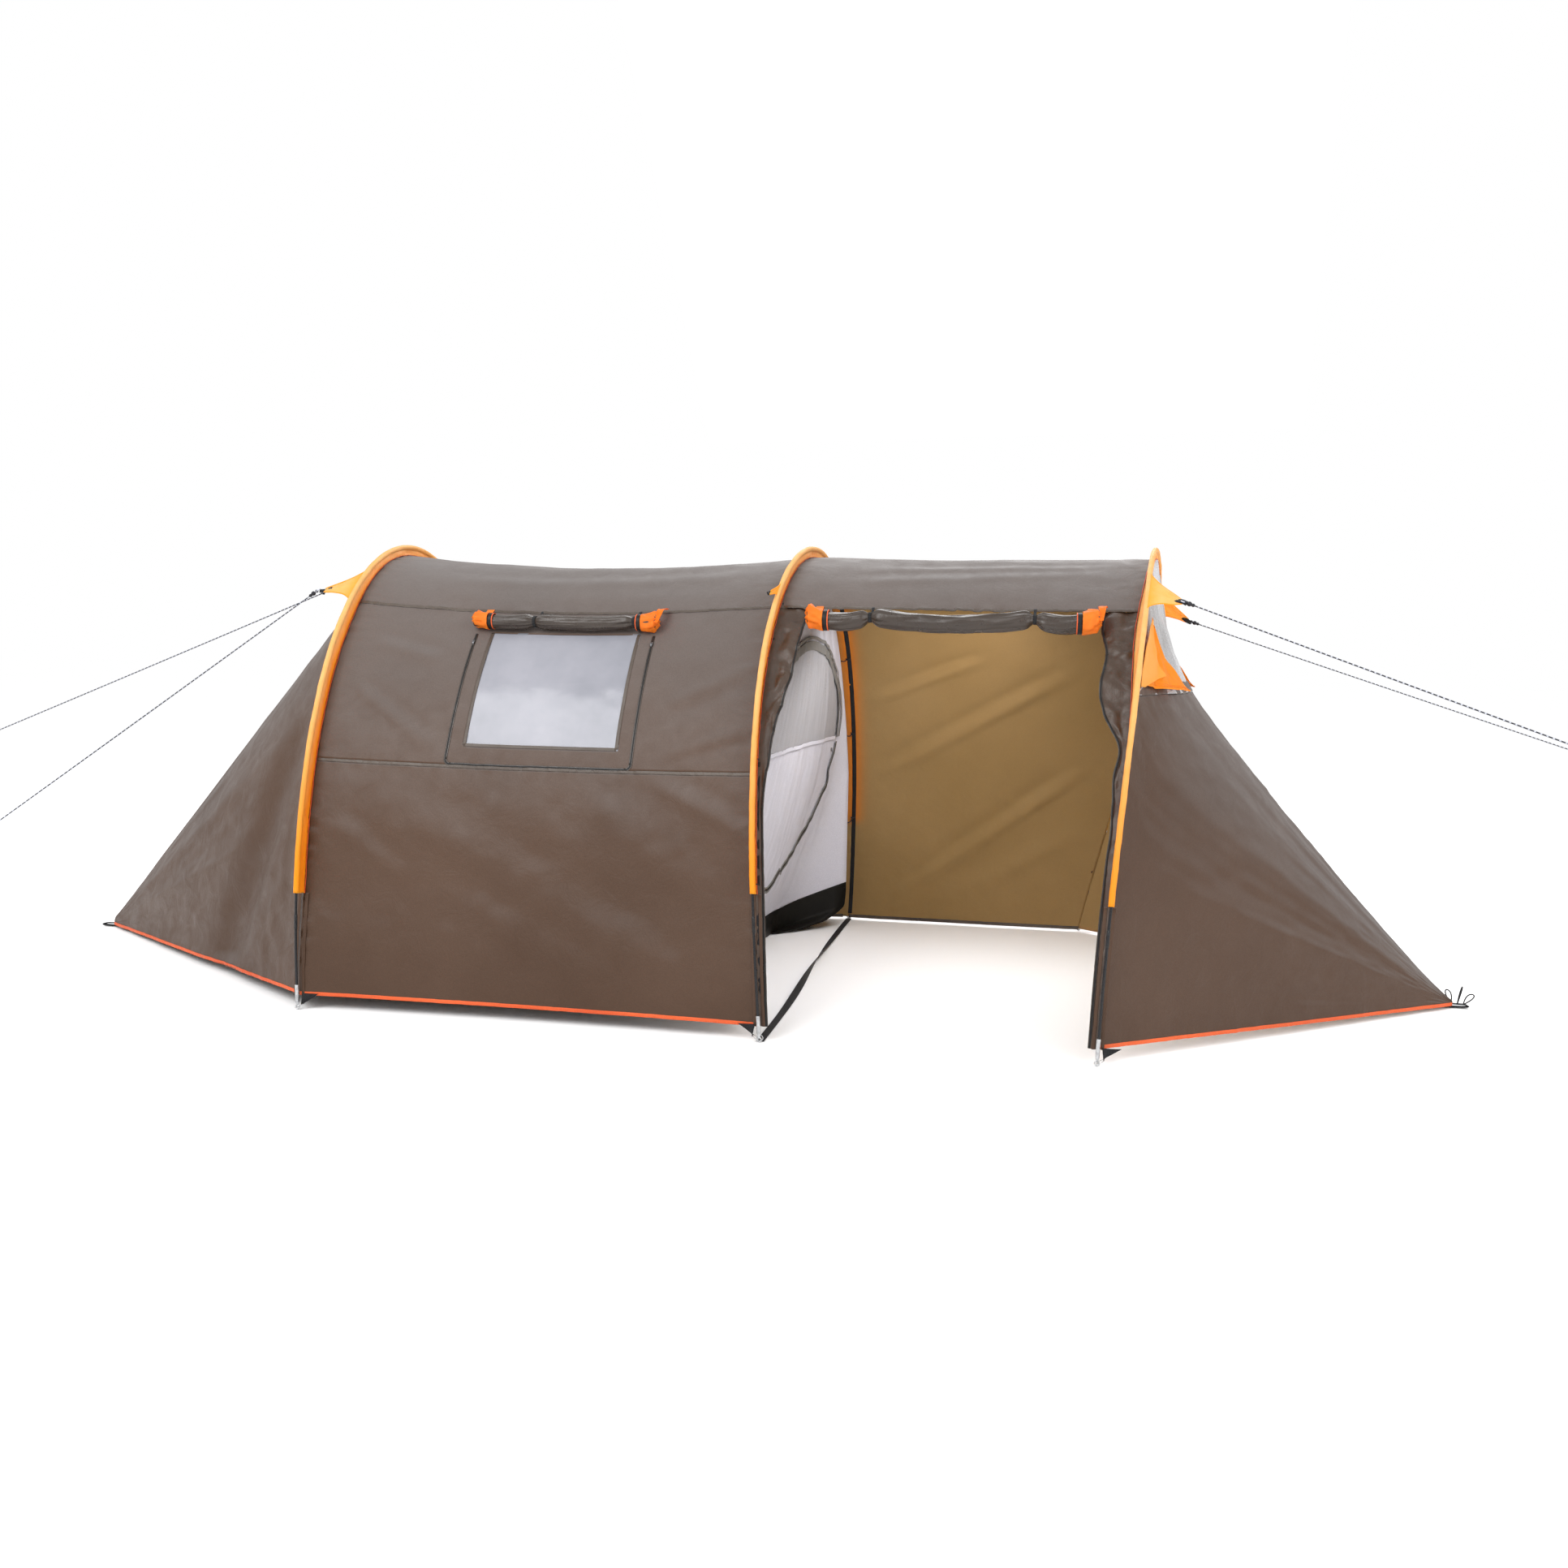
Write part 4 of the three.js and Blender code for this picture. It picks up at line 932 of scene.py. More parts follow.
def make_seams():
    for bay in BAYS:
        seam_across(bay + "_roof_seam_near", bay, ROOF_SEAM, width=0.014)
        seam_across(bay + "_roof_seam_far", bay, FAR_SEAM, width=0.014)
        a, b = bay_ends(bay, np.array(FAR_HEM))
        clear = RING_CLEAR if bay == "rear" else 0.0
        x = np.linspace(a + clear, b - clear, 260)
        line_on_bay(bay + "_hem_far", bay, x, FAR_HEM - 0.003, 0.012, 0.0020, BINDING, "orange_cloth", lift=0.0010)
        line_on_bay(bay + "_hem_far_inside", bay, x, FAR_HEM - 0.002, 0.014, 0.0016, SEAM, "fly_cloth",
                    lift=-0.0016)
    seam_across("rear_low_seam", "rear", LOW_SEAM, width=0.011, height=0.0026)
    a, b = bay_ends("rear", np.array(NEAR_HEM))
    line_on_bay("rear_hem_near", "rear", np.linspace(a, b, 300), NEAR_HEM + 0.003, 0.012, 0.0030, BINDING,
                "orange_cloth", lift=-0.0004)
    u = np.linspace(0.004, 0.984, 320)
    for wedge in WEDGES:
        for side, angle in (("near", NEAR_HEM + 0.004), ("far", FAR_HEM - 0.004)):
            line_on_wedge(f"{wedge}_wedge_hem_{side}", wedge, u, angle, 0.012, 0.0030, BINDING, "orange_cloth",
                          lift=-0.0004 if side == "near" else 0.0010)
        if wedge == "rear":
            line_on_wedge("rear_wedge_ridge", wedge, u, PI / 2, 0.010, 0.0024, SEAM, "fly_cloth", lift=0.0004)


for hoop_name in HOOPS:
    make_hoop_edges(hoop_name)
make_seams()


def zip_teeth(count, width, height):
    """Section of a zip at each step along it: the raised coil swells and sinks tooth by tooth."""
    base = oval(width, height, 12, 0.0, 0.5)
    swell = 1 + 0.28 * np.sin(np.arange(count) * PI / 2)[:, None]
    section = np.repeat(base[None], count, axis=0)
    section[..., 1] *= swell
    return section


def make_zip(name, path, normals, tape=0.011, slot="black_plastic"):
    strip(name + "_tape", path, normals, tape, 0.0012, SHINY_FLY, slot)
    step = np.linalg.norm(np.diff(path, axis=0), axis=1).sum()
    count = int(step / 0.0013)
    t = np.linspace(0, len(path) - 1, count)
    dense = np.stack([np.interp(t, np.arange(len(path)), path[:, k]) for k in range(3)], -1)
    out = unit(np.stack([np.interp(t, np.arange(len(path)), np.asarray(normals)[:, k]) for k in range(3)], -1))
    sweep(name + "_coil", dense + out * 0.0008, out, zip_teeth(count, 0.0044, 0.0020), ZIP, slot)


def make_window_trim():
    """Zips down both sides of the window with the corners of the cover, its hem and the film's pale edge."""
    (x0, x1), low, high = WINDOW["zips"], 0.792, 1.226
    corner = 0.016
    angle_low, angle_top = angle_at(low), angle_at(high)
    round_angle = corner / 1.2
    turn = np.linspace(0, PI / 2, 9)
    x = np.concatenate([np.full(90, x0), x0 + corner * (1 - np.cos(turn)), np.linspace(x0 + corner, x1 - corner, 110),
                        x1 - corner * (1 - np.sin(turn)), np.full(90, x1)])
    a = np.concatenate([np.linspace(angle_top, angle_low + round_angle, 90),
                        angle_low + round_angle * (1 - np.sin(turn)), np.full(110, angle_low),
                        angle_low + round_angle * (1 - np.cos(turn)), np.linspace(angle_low + round_angle, angle_top, 90)])
    path = bay_surface("rear", x, a, 0.0010 + 0.0006 * noise(x / 0.03, a / 0.02, 127))
    make_zip("window_zip", path, outward(a))
    edge = 0.0035
    low, high = window_angles()
    frames = {
        "bottom": (np.linspace(WINDOW["x0"], WINDOW["x1"], 70), np.full(70, low)),
        "rear": (np.full(70, WINDOW["x0"]), np.linspace(low, high, 70)),
        "front": (np.full(70, WINDOW["x1"]), np.linspace(low, high, 70)),
    }
    for tag, (fx, fa) in frames.items():
        line_on_bay(f"window_frame_{tag}", "rear", fx, fa, 0.011, 0.0016, SEAM, "fly_cloth", lift=0.0006)
        if tag != "rear":
            inward = (edge if tag == "bottom" else 0.0)
            line_on_bay(f"window_edge_{tag}", "rear", fx - (edge if tag == "front" else 0.0), fa + inward, 0.0022,
                        0.0012, THREAD, "clear_film", lift=0.0002)


make_window_trim()


# ---- door edges ----------------------------------------------------------------------------
JAMBS = {
    "rear": {"width": 0.018, "flare": 0.072, "from": 0.680, "to": 1.240, "wave": 0.004, "top": 0.0},
    "front": {"width": 0.020, "flare": 0.072, "from": 0.840, "to": 1.060, "wave": 0.012, "top": 0.018},
}


def jamb_width(jamb, angle):
    height = fly_at("middle", angle)[..., 2]
    wide = jamb["width"] + jamb["flare"] * smooth((height - jamb["from"]) / (jamb["to"] - jamb["from"]))
    wide = wide + jamb["top"] * smooth((height - 1.10) / 0.15)
    return wide + jamb["wave"] * noise(height * 11, height * 0, 131) * smooth((height - 0.5) / 0.3) + 0.003


def make_jambs():
    angle = steps(NEAR_HEM, ROOF_SEAM, 0.009)[:, None]
    across = np.linspace(0, 1, 17)[None]
    a, b = bay_ends("front", angle)
    for tag, side in (("rear", 0), ("front", 1)):
        edge = jamb_width(JAMBS[tag], angle)
        x = lerp(a, a + edge, across) if side == 0 else lerp(b, b - edge, across)
        s = arc(angle)
        crumple = 0.0075 * noise(s / 0.050, across * 2.6, 137 + side) + 0.0045 * noise(s / 0.019, across * 4.5, 139 + side)
        curl = 0.012 * across**2 * noise(s / 0.13, across * 0.5, 141 + side)
        clear = smooth((across * edge - 0.016) / 0.020)
        surface = bay_surface("front", x, angle, (crumple + curl) * clear - 0.004 * across)
        piece = cloth(f"door_jamb_{tag}_cloth", surface, JAMB_FLY, "fly_cloth", [f"door_jamb_{tag}"], FLY_IN,
                      flip=side == 0)
        declare(piece, surface)
        make_zip(f"door_zip_{tag}", surface[:, -1] + outward(angle[:, 0]) * 0.0008, outward(angle[:, 0]), tape=0.010)


make_jambs()


# ---- rolled window cover and door flap -----------------------------------------------------
ROLL_ANGLE = angle_at(1.256)
ROLLS = {
    "window_cover_roll": {"bay": "rear", "x": (-0.765, -0.128), "r": 0.025, "ties": (-0.553, -0.204), "droop": 0.004,
                          "pinch": 0.34, "seed": 151},
    "door_flap_roll": {"bay": "front", "x": (0.385, 1.300), "r": 0.031, "ties": (0.586, 1.104), "droop": 0.016,
                       "pinch": 0.52, "seed": 171},
}


def roll_line(roll, x):
    """Centre line of a roll, drooping between its ends and its ties."""
    stops = np.array([roll["x"][0], *roll["ties"], roll["x"][1]])
    k = np.clip(np.searchsorted(stops, x) - 1, 0, len(stops) - 2)
    t = np.clip((x - stops[k]) / (stops[k + 1] - stops[k]), 0, 1)
    at = bay_point(roll["bay"], x, np.full_like(x, ROLL_ANGLE), np.full_like(x, roll["r"] + 0.003))
    at[..., 2] -= roll["droop"] * np.sin(PI * t)
    return at


def roll_radius(roll, x, turn):
    """A spiral of cloth with a ledge where its outer edge lies, long flutes and pinches at the ties."""
    seed = roll["seed"]
    ledge = 0.86 + 0.15 * (turn / (2 * PI))
    flutes = 0.07 * noise(turn * 2.6 + 0.8 * noise(x * 9, x * 0, seed), x * 5, seed + 1)
    flutes = flutes + 0.05 * noise(turn * 5.5, x * 14, seed + 2)
    flutes = flutes + 0.07 * noise(turn * 2.2 + x * 16, x * 7 - turn, seed + 4)
    pinch = sum(np.exp(-(((x - tie) / 0.017) ** 2)) for tie in roll["ties"])
    gather = sum(np.exp(-(((x - tie) / 0.05) ** 2)) for tie in roll["ties"])
    folds = 0.13 * gather * noise(turn * 4.0, x * 2, seed + 3)
    return roll["r"] * (ledge + (flutes + folds) * (1 - 0.7 * pinch) - roll["pinch"] * pinch)


def tube_grid(centre, radius, turn, lean=0.0):
    """Rings of points in the Y-Z plane round a line along X."""
    y, z = radius * np.cos(turn + lean), radius * np.sin(turn + lean)
    return centre[:, None] + points(0.0, y, z)


def make_roll(node):
    roll = ROLLS[node]
    x = np.linspace(*roll["x"], 260 if roll["r"] > 0.03 else 190)
    turn = np.linspace(0, 2 * PI, 57)[None]
    centre = roll_line(roll, x)
    rings = tube_grid(centre, roll_radius(roll, x[:, None], turn), turn, -0.9)
    verts = rings.reshape(-1, 3)
    faces = grid_faces(*rings.shape[:2]).tolist()
    count = rings.shape[1]
    faces += [[(i + 1) * count, (i + 1) * count + count - 1, i * count + count - 1, i * count] for i in range(len(x) - 1)]
    for row in (0, len(x) - 1):
        faces.append([row * count + k for k in range(count)])
    piece = new_piece(node + "_cloth", verts, faces, SHINY_FLY, "fly_cloth")
    fix_winding(piece)
    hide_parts(node)
    for k, tie in enumerate(roll["ties"]):
        make_tie(f"{node}_tie_{k}", roll, tie)
    for tag, (a, b) in {"rear": (roll["x"][0] - 0.004, roll["x"][0] + 0.050),
                        "front": (roll["x"][1] - 0.050, roll["x"][1] + 0.004)}.items():
        make_roll_end(f"{node}_end_{tag}", roll, a, b, tag == "front")


def make_tie(name, roll, x):
    """A black tie: a band round the pinched roll and a tail that runs up to the roof seam."""
    wave = np.linspace(0, 2 * PI, 41)
    spot = np.full(41, x)
    radius = roll_radius(roll, spot, wave) + 0.0026
    path = roll_line(roll, spot) + points(0.0, radius * np.cos(wave - 0.9), radius * np.sin(wave - 0.9))
    strip(name + "_band", path, unit(path - roll_line(roll, spot)), 0.010, 0.0018, WEBBING, "webbing")
    angle = np.linspace(ROLL_ANGLE + 0.006, ROOF_SEAM + 0.004, 12)
    line_on_bay(name + "_tail", roll["bay"], x, angle, 0.010, 0.0018, WEBBING, "webbing",
                lift=np.linspace(0.010, 0.002, 12))
    knot = ring_mesh(name + "_knot", roll_line(roll, np.array([x]))[0] + np.array([0, -0.72, -0.55]) * (roll["r"] * (1 - roll["pinch"])),
                     (1, 0, 0), (0, 0.4, 0.9), 0.0045, 0.0028, WEBBING, "webbing")
    return knot


def make_roll_end(name, roll, a, b, front):
    """Orange cloth gathered round the end of a roll, a strap over it and a black band beside it."""
    seed = roll["seed"] + (7 if front else 5)
    x = np.linspace(a, b, 22)
    turn = np.linspace(0, 2 * PI, 57)[None]
    toward_end = (x - a) / (b - a) if front else (b - x) / (b - a)
    star = 1 + 0.17 * noise(turn * 3.2, toward_end[:, None] * 2.5, seed) * (0.4 + toward_end[:, None])
    folds = 0.09 * np.cos(turn * 9 + 3 * noise(turn, toward_end[:, None], seed + 1)) * toward_end[:, None]
    radius = roll["r"] * 1.14 * star * (1 + folds) * (1 - 0.35 * smooth((toward_end[:, None] - 0.82) / 0.18))
    rings = tube_grid(roll_line(roll, np.clip(x, *roll["x"])), radius, turn)
    rings[..., 0] = x[:, None]
    closing = []
    for k, share in enumerate((0.75, 0.5, 0.25, 0.04)):
        row = rings[-1 if front else 0].copy()
        middle = row.mean(0)
        row = middle + (row - middle) * share
        row[:, 0] += (1 if front else -1) * (0.003 - 0.0022 * k + 0.002 * np.cos(turn[0] * 7 + k))
        closing.append(row)
    grid = np.concatenate([rings, closing]) if front else np.concatenate([closing[::-1], rings])
    grid[:, -1] = grid[:, 0]
    # A small even share of painted light pales the orange.
    piece = cloth(name + "_orange", grid, ROLL_ORANGE, "orange_cloth", inside=ROLL_ORANGE, pale=np.full(grid.shape[:2], 0.06),
                  flip=not front)
    declare(piece, grid)
    band_x = a - 0.008 if front else b + 0.008
    wave = np.linspace(0, 2 * PI, 41)
    spot = np.full(41, band_x)
    path = roll_line(roll, spot) + points(0.0, roll["r"] * 1.06 * np.cos(wave), roll["r"] * 1.06 * np.sin(wave))
    strip(name + "_band", path, unit(path - roll_line(roll, spot)), 0.014, 0.0020, ZIP, "black_plastic")
    beside = path + points(-0.0085 if front else 0.0085, 0.0, 0.0)
    strip(name + "_band_edge", beside, unit(path - roll_line(roll, spot)), 0.0034, 0.0022, BINDING, "orange_cloth")
    angle = np.linspace(ROLL_ANGLE + 0.010, ROOF_SEAM + 0.004, 12)
    # A small even share of painted light pales the strap's orange.
    line_on_bay(name + "_strap", roll["bay"], lerp(a, b, 0.55), angle, 0.026, 0.0022, ROLL_ORANGE, "orange_cloth",
                lift=np.linspace(0.016, 0.002, 12), pale=np.full((12, 12), 0.1))
    if front:
        t, v = np.linspace(0, 1, 14)[:, None], np.linspace(0, 1, 9)[None]
        slant = lerp(ROLL_ANGLE - 0.022, ROOF_SEAM - 0.004, t)
        lift = (0.016 + roll["r"] * 1.25 * np.sin(PI * np.clip(1 - t, 0, 0.5)) + 0.0014 * noise(v * 3, t * 5, seed + 2))
        flap = bay_point(roll["bay"], b - 0.006 + (0.014 + 0.016 * t) * v, slant + 0 * v, lift + 0 * v)
        declare(cloth(name + "_flap", flap, ROLL_ORANGE, "orange_cloth", inside=ROLL_ORANGE, thick=0.001, flip=True), flap)


for roll_node in ROLLS:
    make_roll(roll_node)


# ---- front vent and its two hoods ----------------------------------------------------------
HOOD = {"low": 1.115, "high": 1.335, "from": 0.008, "to": 0.100, "taper": 0.92, "ridge": 0.38,
        "stand": 0.012, "proud": 0.042}


def make_vent():
    edge = angle_at(VENT_Z + 0.006)
    angle = np.linspace(edge, PI - edge, 90)[:, None]
    surface = wedge_surface("front", vent_reach(angle) * np.linspace(0, 1, 26)[None], angle,
                            0.0055 * noise(angle * 22, np.linspace(0, 5, 26)[None], 201))
    piece = cloth("vent_mesh_net", surface, VENT_STRIP, "mesh_cloth", ["vent_mesh"], thick=0.0006)
    declare(piece, surface)
    height = VENT_Z + 0.018
    edge = angle_at(height + 0.004)
    angle = np.linspace(edge, PI - edge, 200)
    line_on_wedge("vent_bottom_hem", "front", vent_reach(angle, height), angle, 0.040, 0.0022, FLY_OUT, "fly_cloth",
                  lift=0.0016)


def hood_point(u, v, far, lift=0.0):
    u, v = np.broadcast_arrays(np.asarray(u, float), np.asarray(v, float))
    out = np.maximum(lerp(HOOD["from"], HOOD["to"], u * (1 - HOOD["taper"] * v)), 0.001)
    low_edge = lerp(angle_at(HOOD["low"]), PI / 2 - HOOD["ridge"], u)
    angle = lerp(low_edge, angle_at(HOOD["high"]), v)
    stand = lerp(HOOD["stand"], HOOD["proud"], (1 - v) * u)
    folds = 0.0045 * noise(u * 4.2, v * 2.5, 211) + 0.0022 * noise(u * 10, v * 6, 213)
    pleat = 0.010 * np.exp(-(((u - 0.28 - 0.1 * v) / 0.07) ** 2)) * (1 - v)
    return wedge_point("front", out, far_side(angle, far), stand + folds * smooth(u * 6) - pleat + lift)


def make_hood(far):
    side = "far" if far else "near"
    node = "vent_hood_" + side
    u, v = np.linspace(0, 1, 46)[:, None], np.linspace(0, 1, 34)[None]
    surface = hood_point(u, v, far)
    # Painted light: the hood is paler next to the hoop.
    piece = cloth(node + "_cloth", surface, HOOD_ORANGE, "orange_cloth", [node], HOOD_ORANGE, thick=0.0012,
                  flip=far, pale=0.12 * smooth(1 - 3 * u) + 0 * v)
    declare(piece, surface)
    along = np.linspace(0, 1, 80)
    for tag, at, wide, material in (("hem", 0.0, 0.0050, HOOD_ORANGE), ("stitch_low", 0.045, 0.0012, THREAD_ORANGE),
                                    ("stitch_high", 0.075, 0.0012, THREAD_ORANGE)):
        path = hood_point(along, 0 * along + at, far, 0.0006)
        strip(f"{node}_{tag}", path, unit(hood_point(along, 0 * along + at, far, 0.01) - path), wide,
              0.0030 if tag == "hem" else 0.0010, material, "orange_cloth")
    down, across = np.linspace(0, 1, 40)[:, None], np.linspace(0, 1, 16)[None]
    reach = lerp(-0.10, 0.44 * np.minimum(down / 0.74, (1 - down) / 0.26), across)
    lift = 0.004 + 0.016 * reach + 0.0012 * noise(down * 6, across * 3, 217)
    surface = hood_point(reach, lerp(0.94, -0.04, down), far, lift)
    # Painted light: the gusset is paler towards the hoop.
    piece = cloth(node + "_gusset", surface, ORANGE, "orange_cloth", inside=ORANGE, thick=0.0010, flip=far,
                  pale=0.55 - 0.35 * across + 0 * down)
    declare(piece, surface)


THREAD_ORANGE = plastic_material("orange_thread", (0.72, 0.17, 0.015), 0.7)
make_vent()
for is_far in (False, True):
    make_hood(is_far)


# ---- guy tabs and runners ------------------------------------------------------------------
TABS = {  # hoop, angles of the base in degrees, tip, share of painted light on the cloth
    "rear_tab_near": ("rear", 59, 68, (-1.328, -0.470, 1.347), 0.85),
    "rear_tab_far": ("rear", 121, 112, (-1.328, 0.470, 1.347), 0.5),
    "front_tab_near": ("front", 59, 69, (1.548, -0.500, 1.335), 0.85),
    "front_tab_far": ("front", 121, 112, (1.670, 0.500, 1.304), 0.5),
    "middle_tab_near": ("middle", 61.5, 64.5, (0.258, -0.505, 1.352), 0.1),
    "middle_tab_far": ("middle", 118.5, 115.5, (0.280, 0.505, 1.352), 0.1),
}
RUNNERS = {"rear_runner_side": "rear_cord_side", "front_runner_near": "front_cord_near",
           "front_runner_far": "front_cord_far"}
RUNNER_START, RUNNER_LENGTH = 0.006, 0.024


def make_tab(node):
    hoop, degrees0, degrees1, tip, pale = TABS[node]
    a0, a1, tip = math.radians(degrees0), math.radians(degrees1), np.array(tip)
    v, t = np.linspace(0, 1, 21)[:, None], np.linspace(0, 1, 33)[None]
    low, high = hoop_point(hoop, a0, -0.0065), hoop_point(hoop, a1, -0.0065)
    across, out = unit(high - low), unit(tip - (low + high) / 2)
    flat = unit(np.cross(out, across))
    narrowed = 0.5 + (v - 0.5) * (1 - 0.28 * np.sin(PI * t) ** 0.8)
    base = hoop_point(hoop, lerp(a0, a1, narrowed), np.full(narrowed.shape, -0.0065))
    end = tip + across * (0.018 * (v - 0.5))[..., None]
    surface = base + (end - base) * t[..., None]
    small = 1.0 if abs(degrees1 - degrees0) > 5 else 0.35
    rays = 0.0055 * noise(v * 4.5, t * 1.4, 221) + 0.0022 * noise(v * 11, t * 4, 223)
    surface += flat * (small * rays * np.sin(PI * t))[..., None]
    # Painted light: each tab gets its listed share, growing away from the base.
    piece = cloth(node + "_cloth", surface, ORANGE, "orange_cloth", [node], ORANGE, thick=0.0012,
                  pale=pale * smooth(0.15 + t * 2) + 0 * v)
    declare(piece, surface)
    for edge, row in (("low", 0), ("high", -1)):
        strip(f"{node}_edge_{edge}", surface[row], np.broadcast_to(flat, surface[row].shape), 0.0045, 0.0026, ORANGE,
              "orange_cloth")
    reach = np.linspace(-0.026 * small, 0.018, 16)[:, None]
    path = tip + out * reach + flat * (0.0025 * np.cos(reach * 90))
    strip(node + "_webbing", path, np.broadcast_to(flat, path.shape), 0.020 if small == 1 else 0.012, 0.0032, WEBBING,
          "webbing")


def make_runner(node):
    start, end = (np.array(p) for p in CORDS[RUNNERS[node]])
    way = unit(end - start)
    at = np.array([0, 0.0008, 0.0025, 0.0050, 0.0075, 0.0100, 0.0125, 0.0142, 0.0155, 0.0175, 0.0200, 0.0225, 0.024])
    radius = [0.0032, 0.0050, 0.0066, 0.0075, 0.0075, 0.0070, 0.0054, 0.0042, 0.0042, 0.0052, 0.0056, 0.0046, 0.0032]
    path = start + way * (RUNNER_START + at * RUNNER_LENGTH / 0.024)[:, None]
    tube(node + "_toggle", path, radius, PLASTIC, "black_plastic", 24, body=node, nodes=[node])


def make_cord_ties():
    """Where each cord starts: a loop through the webbing and a knot."""
    for name, (start, end) in CORDS.items():
        start, way = np.array(start), unit(np.array(end) - np.array(start))
        side = unit(np.cross(way, (0, 0, 1.0)))
        ring_mesh(name + "_loop", start - way * 0.008, way, side, 0.0062, 0.0018, CORD, "guyline")
        t = np.linspace(0, 1, 70)[:, None]
        up = np.cross(side, way)
        knot = start + way * (0.0035 * np.sin(4 * PI * t) - 0.001) + up * 0.0042 * np.cos(4 * PI * t) \
            + side * 0.0042 * np.sin(6 * PI * t)
        tube(name + "_tie", knot, 0.0017, CORD, "guyline", 8)


for tab_node in TABS:
    make_tab(tab_node)
for runner_node in RUNNERS:
    make_runner(runner_node)
make_cord_ties()


# ---- webbing at the feet, floor strap and wedge points -------------------------------------
def make_foot_webbing(name, far):
    """A webbing triangle that hangs from the hem down to the foot's wire ring."""
    side = HOOPS[name]["ring"]
    axis = foot_axis(name, far)
    hem = FAR_HEM_Z + 0.020 if far else NEAR_HEM_Z + 0.006
    angle = far_side(angle_at(hem), far)
    ring = axis(EYE_Z) + np.array([side * math.cos(RING_TILT), 0, math.sin(RING_TILT)]) * (2 * RING_R - 0.001)
    t, v = np.linspace(0, 1, 19)[:, None], np.linspace(0, 1, 13)[None]
    top = fly_at(name, angle) + points(side * lerp(0.012, 0.066, v[0]), 0.0, 0.0)
    top = top + outward(angle) * 0.0045
    low = ring + points(0.0, lerp(-0.011, 0.011, v[0]), 0.0)
    surface = top[None] + (low - top)[None] * t[..., None]
    surface = surface + outward(angle) * (0.0025 * np.sin(PI * t) * np.cos(v * 5) + 0.001 * noise(v * 5, t * 3, 231))[..., None]
    tag = "far" if far else "near"
    new = cloth(f"{name}_foot_webbing_{tag}", surface, WEBBING, "webbing", inside=WEBBING, thick=0.0016)
    declare(new, surface)


def make_floor_strap():
    """Black strap across the floor of the middle hoop; it turns over once on its way."""
    near, far = foot_axis("middle", False)(0.0), foot_axis("middle", True)(0.0)
    near, far = near + (0, 0.010, 0), far - (0, 0.010, 0)
    t = np.linspace(0, 1, 200)
    turn = PI * smooth((t - 0.12) / 0.72)
    path = lerp(near, far, t[:, None])
    path[:, 2] = 0.0016 + 0.0118 * np.abs(np.sin(turn))
    path[:, 0] += 0.006 * np.sin(2 * PI * t)
    normals = points(np.sin(turn), 0.0, np.cos(turn))
    strip("middle_floor_strap_webbing", path, normals, 0.0240, 0.0018, WEBBING, "webbing", nodes=["middle_floor_strap"])
    for tag, at in (("near", near), ("far", far)):
        ring_mesh(f"middle_strap_ring_{tag}", at + (0, 0, 0.011), (1, 0, 0), (0, 0, 1), 0.0085, 0.0014, STEEL, "pin_steel")


def make_points():
    """Webbing loop at each wedge point; three small cord loops stand up at the front one."""
    for wedge, spec in WEDGES.items():
        side = spec["side"]
        t = np.linspace(0, 1, 60)
        x = side * (2.500 + np.where(t < 0.5, t, 1 - t) * 2 * 0.093)
        fold_z = np.where(t < 0.5, 0.0145 - 0.004 * t, 0.0035 + 0.0030 * (1 - t))
        fold_z = lerp(fold_z, 0.008, np.exp(-(((t - 0.5) / 0.03) ** 2)))
        strip(f"{wedge}_point_webbing", points(x, 0.0, fold_z), (0.0, 0.0, 1.0),
              0.024, 0.0022, WEBBING, "webbing", nodes=[f"{wedge}_point_loop"])
        seam = np.linspace(0, 1, 24)
        strip(f"{wedge}_point_binding", points(side * lerp(2.460, 2.530, seam), 0.0, lerp(0.030, 0.0190, seam)),
              points(0.0, 0.0, 1.0), 0.020, 0.0040, BINDING, "orange_cloth")
    t = np.linspace(0, 2 * PI, 60, endpoint=True)
    for k, (x, lean, tall) in enumerate(((2.535, -0.25, 0.050), (2.556, 0.20, 0.062), (2.575, 0.65, 0.046))):
        reach = tall * np.sin(t / 2)
        loop = points(x + reach * math.sin(lean) + 0.006 * np.sin(t), 0.012 * np.sin(t) * (1 if k % 2 else -1),
                      0.012 + reach * math.cos(lean))
        tube(f"front_point_cord_loop_{k}", loop, 0.0021, WEBBING, "guyline", 8)


for hoop_name in HOOPS:
    for is_far in (False, True):
        make_foot_webbing(hoop_name, is_far)
make_floor_strap()
make_points()


# ---- zip sliders ---------------------------------------------------------------------------
def make_slider(node, up, out):
    """A slider with a pull that hangs from it."""
    low, high = (np.array(corner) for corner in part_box(node))
    centre, up, out = (low + high) / 2, unit(up), unit(out)
    at = np.array([-0.0080, -0.0074, -0.004, 0.0, 0.004, 0.0070, 0.0080])
    wide = np.array([0.0040, 0.0060, 0.0072, 0.0080, 0.0090, 0.0086, 0.0062])
    tall = np.array([0.0024, 0.0036, 0.0044, 0.0048, 0.0048, 0.0040, 0.0026])
    section = np.stack([oval(w, h, 20, 0.0, 0.55) for w, h in zip(wide, tall)])
    sweep(node + "_body", centre + up * at[:, None], out, section, SLIDER_METAL, "slider_metal", [node], node)
    t = np.linspace(0, 1, 14)
    hang = centre + out * 0.0036 + np.array([0, 0, -1.0]) * (0.003 + 0.030 * t)[:, None]
    wide = 0.0042 + 0.0024 * smooth((t - 0.35) / 0.3) - 0.003 * smooth((t - 0.93) / 0.07)
    section = np.stack([oval(w, 0.0016, 16, 0.0, 0.5) for w in wide])
    sweep(node + "_pull", hang, out, section, SLIDER_METAL, "slider_metal", [], node)
    bridge = np.linspace(0, PI, 14)[:, None]
    tube(node + "_bridge", centre + out * 0.0018 - up * (0.005 * np.cos(bridge)) + out * (0.0030 * np.sin(bridge)), 0.0008,
         SLIDER_METAL, "slider_metal", 10, body=node)


